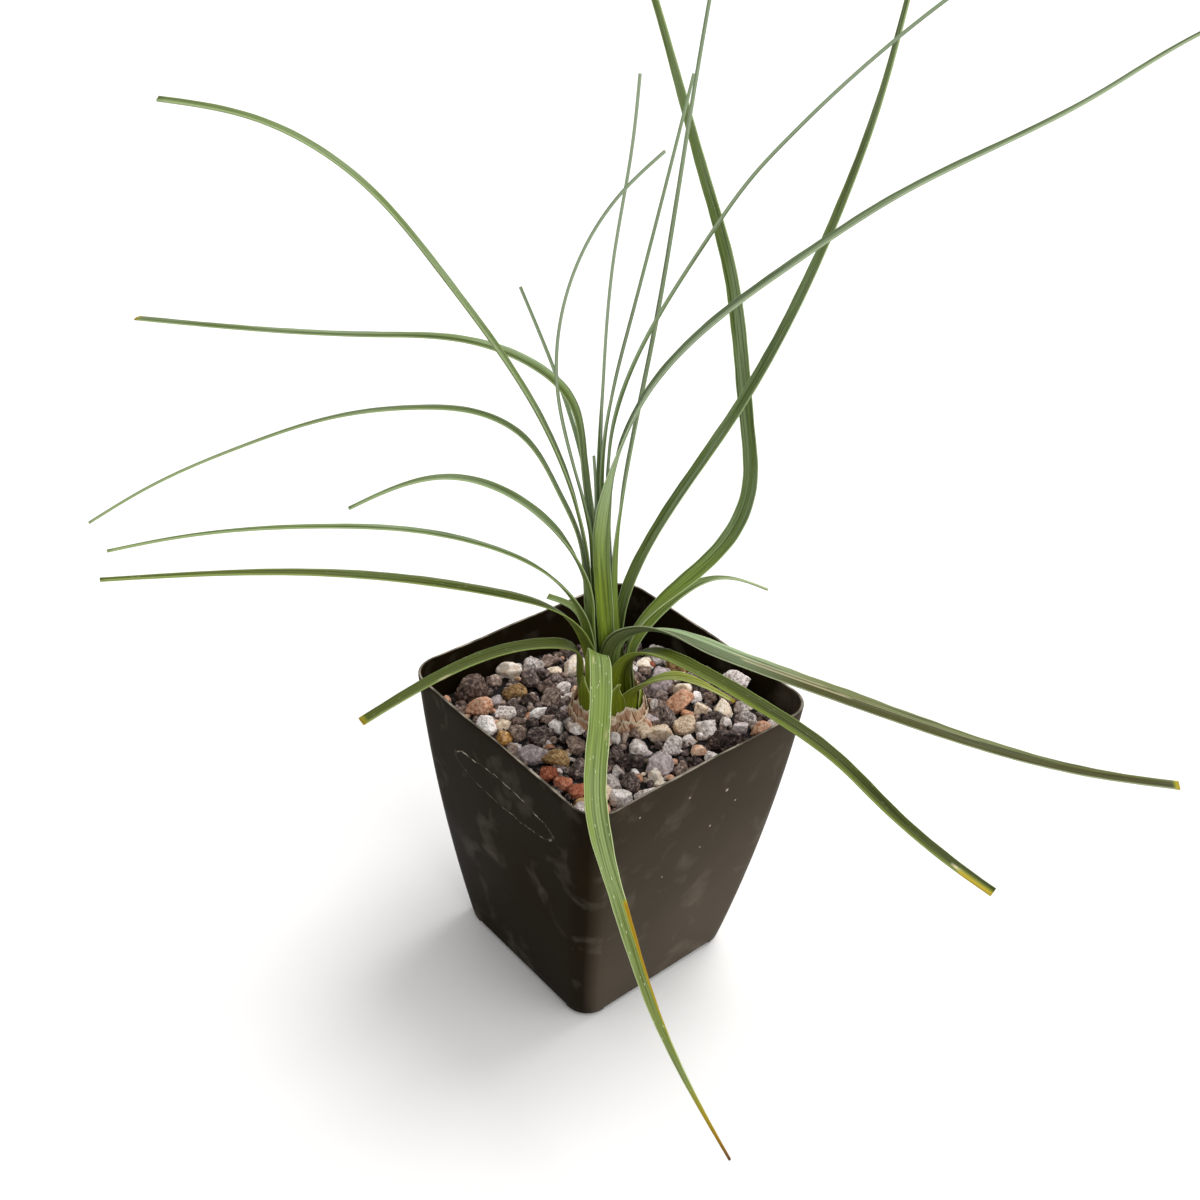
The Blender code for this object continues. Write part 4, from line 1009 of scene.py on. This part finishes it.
def mound(x, y):
    """How much higher the fine gravel lies where it is heaped against the collar."""
    return MOUND_HEIGHT * ease(math.hypot(x, y), MOUND_END, MOUND_START)


def room_to_wall(x, y, height):
    """Distance from a point inwards to the pot's inner wall at a height."""
    half, corner = wall_half(height) - WALL, wall_corner(height) - WALL
    beyond_x, beyond_y = abs(x) - (half - corner), abs(y) - (half - corner)
    outside = math.hypot(max(beyond_x, 0), max(beyond_y, 0))
    return corner - outside - min(max(beyond_x, beyond_y), 0)


def stone_places(draw):
    """The top layer of stones: the big ones first, then others packed between them, clear of the caudex."""
    places = list(BIG_STONES)
    for _ in range(STONE_TRIES):
        x, y = (draw.uniform(-RIM_HALF, RIM_HALF) for _ in range(2))
        radius = STONE_RADII[0] + (STONE_RADII[1] - STONE_RADII[0]) * draw.random() ** 1.6
        slim = draw.uniform(*STONE_SLIMNESS)
        turn = draw.uniform(0, 360)
        if room_to_wall(x, y, bed_level(x, y)) < radius + CLEARANCE:
            continue
        if math.hypot(x, y) < CAUDEX_REACH + CLEARANCE + 0.9 * radius:
            continue
        if any(math.dist((x, y), (other.x, other.y)) < STONE_SPACING * (radius + other.radius)
               for other in places):
            continue
        places.append(Stone(x, y, radius, slim, turn, ""))
    return places


# Kinds of stone: share of the stones and of the grit, colours from dark to pale, roughness, and how much
# it is faceted, lumped, pitted and speckled with dark crystals
Kind = namedtuple("Kind", "share grit colors roughness facets lumps pits speckle")
KINDS = {
    "lava": Kind(0.22, 0.45, ("231b1a", "594a46", "a3928a"), 0.85, 0.95, 0.3, 0.9, 0.1),
    "basalt": Kind(0.25, 0.3, ("3f302a", "806a5f", "c2ad9e"), 0.7, 1.0, 0.25, 0.4, 0.15),
    "pumice": Kind(0.16, 0.05, ("b2a39c", "f3e8e3", "fefbf9"), 0.85, 0.9, 0.3, 1.2, 0.05),
    "quartz": Kind(0.13, 0.06, ("b4977a", "ead5bc", "fdf4ea"), 0.5, 0.95, 0.2, 0.1, 0.05),
    "feldspar": Kind(0.09, 0.05, ("a0694a", "d6a080", "f2d3b9"), 0.5, 0.95, 0.2, 0.2, 0.05),
    "brick": Kind(0.0, 0.02, ("69321f", "a65c40", "cd9175"), 0.85, 0.7, 0.3, 0.5, 0.05),
    "granite": Kind(0.07, 0.04, ("7c706c", "ccc0ba", "f2ebe6"), 0.65, 0.95, 0.25, 0.3, 0.5),
    "carnelian": Kind(0.0, 0.0, ("6a4515", "b58444", "e0b878"), 0.2, 0.8, 0.2, 0.0, 0.0),
    "rhyolite": Kind(0.05, 0.02, ("8d8182", "c0b1b2", "e0d4d2"), 0.65, 1.0, 0.15, 0.1, 0.1),
    "tuff": Kind(0.03, 0.01, ("5f4627", "9f7c50", "d8b885"), 0.8, 0.8, 0.35, 0.6, 0.1),
}
# The mix under the stones: near black, partly its own dark colour and partly painted shade of the gaps
# between the stones
GRIT = Kind(1, 1, ("0f0c0a", "29211d", "5a4d43"), 0.9, 0, 0, 1.0, 0.1)
# A cream chip that is lodged between the leaf bases and the collar
LODGED_STONE = Stone(-5.9, -8.5, 1.5, 0.8, 30, "quartz", 7.0)
STONE_SEAT = 0.35           # how high a stone's middle lies over the bed, for its radius
STONE_PLANES = 9
STONE_GROWTH = 1.2          # makes up for what the planes cut off
PLANE_REACH = (0.5, 0.84)
GRIT_TRIES = 1300
GRIT_RADII = (0.7, 1.4)
# Small stones heaped against the collar
HEAPED_STONES = 34
HEAPED_RADII = (1.3, 2.1)
HEAP_RADIUS = 10.6
MOUND_HEIGHT = 2.8
MOUND_START = 11.4
MOUND_END = 14.5
BED_SEED = 5
POCKET_TOP = 70             # the bed's pocket follows the caudex up to here
BED_ROWS = 9
BED_RINGS = 18


def stone_growth(name, ball_kind, fineness):
    """Broken stones on points: balls cut by flat planes of their own, then lumped, roughened and pitted."""
    tree, add, given = new_growth(name, "Facets", "Lumps", "Pits")
    number = add(READ, {"Name": "number"}, data_type="FLOAT")
    middle, way, turn, size = (add(READ, {"Name": name}, data_type="FLOAT_VECTOR")
                               for name in ("middle", "way", "turn", "size"))
    here = add("GeometryNodeInputPosition")
    ball = add(ball_kind, fineness)
    ball = add(STORE, {"Geometry": ball, "Name": "way", "Value": here}, data_type="FLOAT_VECTOR",
               domain="POINT")
    turned = add("FunctionNodeEulerToRotation", [turn])
    stones = add("GeometryNodeInstanceOnPoints",
                 {"Points": given["Geometry"], "Instance": ball, "Rotation": turned, "Scale": size})
    stones = add("GeometryNodeRealizeInstances", {"Geometry": stones})

    reach = 1.05
    for k in range(STONE_PLANES):
        facing = add("FunctionNodeRandomValue",
                     {"Min": (-1, -1, -1), "Max": (1, 1, 1), "ID": number, "Seed": k},
                     data_type="FLOAT_VECTOR")
        facing = add(VECTOR, [facing], "NORMALIZE")
        away = add("FunctionNodeRandomValue",
                   {"Min": PLANE_REACH[0], "Max": PLANE_REACH[1], "ID": number, "Seed": k + STONE_PLANES},
                   data_type="FLOAT")
        lean = add(VECTOR, [way, facing], "DOT_PRODUCT")
        lean = add(MATH, [lean, 0.05], "MAXIMUM")
        cut = add(MATH, [away, lean], "DIVIDE")
        reach = add(MATH, [reach, cut, 0.025], "SMOOTH_MIN")
    cut = add(MATH, [add(MATH, [reach, 1.0], "SUBTRACT"), given["Facets"], 1.0], "MULTIPLY_ADD")

    offset = add(VECTOR, {"Vector": (13.7, 7.1, 3.3), "Scale": number}, "SCALE")
    sample = add(VECTOR, [way, offset], "ADD")
    lump = add(NOISE, {"Vector": sample, "Scale": 1.9, "Detail": 2.0})
    lumps = add(MATH, [add(MATH, [lump, 0.5], "SUBTRACT"), given["Lumps"], cut], "MULTIPLY_ADD")
    rough = add(NOISE, {"Vector": sample, "Scale": 7.0, "Detail": 3.0, "Roughness": 0.6})
    roughened = add(MATH, [add(MATH, [rough, 0.5], "SUBTRACT"), 0.16, lumps], "MULTIPLY_ADD")
    pit = add(CELLS, {"Vector": sample, "Scale": 4.5, "Smoothness": 0.3}, feature="SMOOTH_F1")
    hole = add(RANGE, [pit.outputs["Distance"], 0.36, 0.12])
    pitted = add(MATH, [hole, given["Pits"]], "MULTIPLY")
    factor = add(MATH, [roughened, add(MATH, [pitted, 0.11], "MULTIPLY")], "SUBTRACT")
    arm = add(VECTOR, {"Vector": add(VECTOR, [here, middle], "SUBTRACT"), "Scale": factor}, "SCALE")
    spot = add(VECTOR, [middle, arm], "ADD")
    # relief: how high the surface stands, which the finish turns into painted shade in the hollows and
    # painted light on the bumps
    relief = add(MATH, [rough, add(MATH, [pitted, 0.5], "MULTIPLY")], "SUBTRACT")
    stones = add(STORE, {"Geometry": stones, "Name": "relief", "Value": relief}, data_type="FLOAT",
                 domain="POINT")
    shaped = add("GeometryNodeSetPosition", {"Geometry": stones, "Position": spot})
    smooth = add("GeometryNodeSetShadeSmooth", {"Geometry": shaped, "Shade Smooth": True})
    end_growth(add, smooth, given["Material"])
    return tree


def stone_finish(name, kind):
    """Broken stone of one kind: mottled in its own colours, with painted shade in its hollows and painted
    light on its bumps, grained and speckled.
    """
    made, add, shader = new_finish("stone_" + name, Roughness=kind.roughness, IOR=1.5,
                                   Specular_IOR_Level=0.35)
    place = add("ShaderNodeTexCoord").outputs["Object"]
    number, relief = (add(ATTRIBUTE, attribute_name=part).outputs["Fac"] for part in ("number", "relief"))
    # mottling of 1 mm, and grains of 0.25 mm, a little coarser than real so that the picture holds them
    mottle, grains = (
        add(NOISE, {"Vector": place, "Scale": scale, "Detail": detail, "Roughness": 0.7})
        for scale, detail in ((900.0, 4.0), (2600.0, 3.0)))
    tint = add(MATH, [add(MATH, [number, 0.618], "MULTIPLY")], "FRACT")
    tone = add(MATH, [add(MATH, [tint, 0.2, -0.1], "MULTIPLY_ADD"), mottle], "ADD")
    # painted light and shade: lighter where the stone stands out, darker in its hollows
    tone = add(MATH, [add(MATH, [relief, 0.5, -0.25], "MULTIPLY_ADD"), tone], "ADD")
    low, middle, high = kind.colors
    rock = add(RAMP, [tone], stops=[(0.33, low), (0.7, high), (0.5, middle)])
    crystal = add(CELLS, {"Vector": place, "Scale": 1700.0}).outputs["Distance"]
    # dark crystals, then painted shade that lays the hollows over in the kind's darkest colour
    body = layered(add, rock, [(add(RANGE, [crystal, 0.34, 0.2, 0.0, kind.speckle]), "2e2825"),
                               (add(RANGE, [relief, 0.4, 0.1, 0.0, 0.7]), low)])
    bump = add(BUMP, {"Strength": 0.25 + 0.5 * kind.roughness, "Distance": 0.2 * MM, "Height": grains})
    feed(shader, {"Base Color": body, "Normal": bump})
    return made


def build_gravel():
    """The stones of the top layer and the grit between them, one piece for each kind of stone."""
    places = stone_places(random.Random(STONE_SEED)) + [LODGED_STONE]
    draw = random.Random(STONE_SEED + 1)
    names = list(KINDS)
    shares = {"small": [kind.share for kind in KINDS.values()],
              "grit": [kind.grit for kind in KINDS.values()]}
    stones = [(stone, "big" if stone.kind else "small") for stone in places]
    for _ in range(GRIT_TRIES):
        x, y = (draw.uniform(-RIM_HALF, RIM_HALF) for _ in range(2))
        radius = draw.uniform(*GRIT_RADII)
        beside_caudex = math.hypot(x, y) <= CAUDEX_REACH + CLEARANCE + radius
        if room_to_wall(x, y, bed_level(x, y)) > radius and not beside_caudex:
            rise = mound(x, y) + draw.uniform(-0.9, 0.3)
            slim = draw.uniform(0.7, 1)
            stones.append((Stone(x, y, radius, slim, draw.uniform(0, 360), "", rise), "grit"))
    for k in range(HEAPED_STONES):
        radius = draw.uniform(*HEAPED_RADII)
        x, y, _ = direction(360 * k / HEAPED_STONES + draw.uniform(-5, 5)) * (HEAP_RADIUS + 0.8 * radius)
        rise = mound(x, y) + draw.uniform(-0.6, 0.5)
        stones.append((Stone(x, y, radius, draw.uniform(0.6, 1), draw.uniform(0, 360), "", rise), "small"))
    rows = {}
    for number, (stone, size) in enumerate(stones):
        pick = stone.kind or draw.choices(names, shares[size])[0]
        flat = draw.uniform(0.68, 0.95)
        tilt = [draw.uniform(-0.25, 0.25) for _ in range(2)]
        height = bed_level(stone.x, stone.y) + STONE_SEAT * stone.radius + stone.rise
        rows.setdefault((pick, size), []).append((
            np.array([stone.x, stone.y, height]) * MM,
            np.array([1, stone.slim, flat]) * STONE_GROWTH * stone.radius * MM,
            (*tilt, math.radians(stone.turn)), float(number)))
    trees = {"big": stone_growth("big_stones", "GeometryNodeMeshIcoSphere", {"Subdivisions": 5}),
             "small": stone_growth("small_stones", "GeometryNodeMeshIcoSphere", {"Subdivisions": 4}),
             "grit": stone_growth("grit_grains", "GeometryNodeMeshUVSphere", {"Segments": 8, "Rings": 5})}
    for name, kind in KINDS.items():
        finish = stone_finish(name, kind)
        joined = bmesh.new()
        for size, tree in trees.items():
            if (name, size) not in rows:
                continue
            middles, sizes, turns, numbers = zip(*rows[name, size])
            points = point_mesh(name, middles, middle=middles, size=sizes, turn=turns, number=numbers)
            joined.from_mesh(grow_mesh(tree, points, {
                "Facets": kind.facets, "Lumps": kind.lumps, "Pits": kind.pits, "Material": finish}))
        mesh = bpy.data.meshes.new("gravel_" + name)
        joined.to_mesh(mesh)
        joined.free()
        mesh.materials.append(finish)
        add_piece("gravel_" + name, mesh, "gravel")


def build_bed():
    """The mix under the stones, down to the pot's floor, with the pocket that the caudex stands in."""
    # the near-black finish is partly the mix's own colour and partly painted shade of the gaps between the
    # stones
    finish = stone_finish("grit", GRIT)
    bottom = FLOOR_TOP + CLEARANCE
    top = BED_HEIGHT - HOLLOW_DEPTH - 1
    inset = WALL + CLEARANCE
    loops = [wall_loop(height, inset) for height in np.linspace(bottom, top, BED_ROWS)]
    edge = [wall_loop(bed_level(x, y), inset)[k] for k, (x, y, _) in enumerate(wall_loop(BED_HEIGHT, inset))]
    draw = random.Random(BED_SEED)
    for ring in range(BED_RINGS + 1):
        share = ring / BED_RINGS
        loop = []
        for x, y, _ in edge:
            out = np.array([x, y])
            circle = out / np.linalg.norm(out) * MOUND_START
            x, y = out + (circle - out) * share
            rough = draw.uniform(-0.6, 0.4) if 0 < ring < BED_RINGS else 0
            loop.append((x, y, bed_level(x, y) + mound(x, y) + rough))
        loops.append(loop)
    for radius, height in [(r + CLEARANCE, h) for r, h in reversed(CAUDEX_PROFILE) if h < POCKET_TOP]:
        loops.append([tuple(direction(math.degrees(math.atan2(y, x)))[:2] * radius) + (height,)
                      for x, y, _ in edge])
    add_piece("gritty_mix", solid_mesh("gritty_mix", *loft(loops), finish, 60), "gravel", "potting_mix")


# Stage, light and camera

FLOOR_REACH = 4.0           # metres


def build_stage():
    """Plain pale floor under the pot."""
    floor_mesh = bpy.data.meshes.new("floor")
    corners = [(x * FLOOR_REACH, y * FLOOR_REACH, 0) for x, y in ((-1, -1), (1, -1), (1, 1), (-1, 1))]
    floor_mesh.from_pydata(corners, [], [(0, 1, 2, 3)])
    finish, *_ = new_finish("pale_matte_floor", Base_Color=linear("f4f3f1"), Roughness=0.9)
    floor_mesh.materials.append(finish)
    floor = show("floor", floor_mesh)


def add_sun(name, toward, angle, strength):
    """Broad soft light from one direction, the same over the whole floor."""
    lamp = bpy.data.lights.new(name, "SUN")
    lamp.angle = math.radians(angle)
    lamp.energy = strength
    show(name, lamp).rotation_euler = Vector(toward).to_track_quat("Z", "Y").to_euler()


def build_light():
    """Soft white studio light: a high key from the right, a weaker fill from the right front, and air."""
    scene = bpy.context.scene
    scene.view_settings.view_transform = "Standard"
    world = bpy.data.worlds.new("studio_air")
    world.use_nodes = True
    world.node_tree.nodes["Background"].inputs["Color"].default_value = linear("ffffff")
    world.node_tree.nodes["Background"].inputs["Strength"].default_value = 0.6
    scene.world = world
    add_sun("key_light", (0.494, 0.026, 0.87), 36, 1.9)
    add_sun("fill_light", (0.178, -0.7, 0.7), 60, 1.1)


def build_camera():
    """The photograph's viewpoint."""
    azimuth, elevation, roll = (math.radians(v) for v in (CAMERA_AZIMUTH, CAMERA_ELEVATION, CAMERA_ROLL))
    back = Vector((math.sin(azimuth) * math.cos(elevation), -math.cos(azimuth) * math.cos(elevation),
                   math.sin(elevation)))
    level = Vector((math.cos(azimuth), math.sin(azimuth), 0))
    upward = back.cross(level)
    right = level * math.cos(roll) + upward * math.sin(roll)
    up = upward * math.cos(roll) - level * math.sin(roll)
    made = show("photo_camera", bpy.data.cameras.new("photo_camera"))
    made.data.lens = CAMERA_LENS
    made.data.sensor_width = 36
    made.data.clip_start = 0.01
    made.data.clip_end = 20
    turn = Matrix((right, up, back)).transposed().to_4x4()
    made.matrix_world = Matrix.Translation((CAMERA_TARGET + back * CAMERA_DISTANCE) * MM) @ turn
    bpy.context.scene.camera = made


build_camera()
build_light()
build_stage()
build_leaves()
build_pot()
build_caudex()
build_bed()
build_gravel()
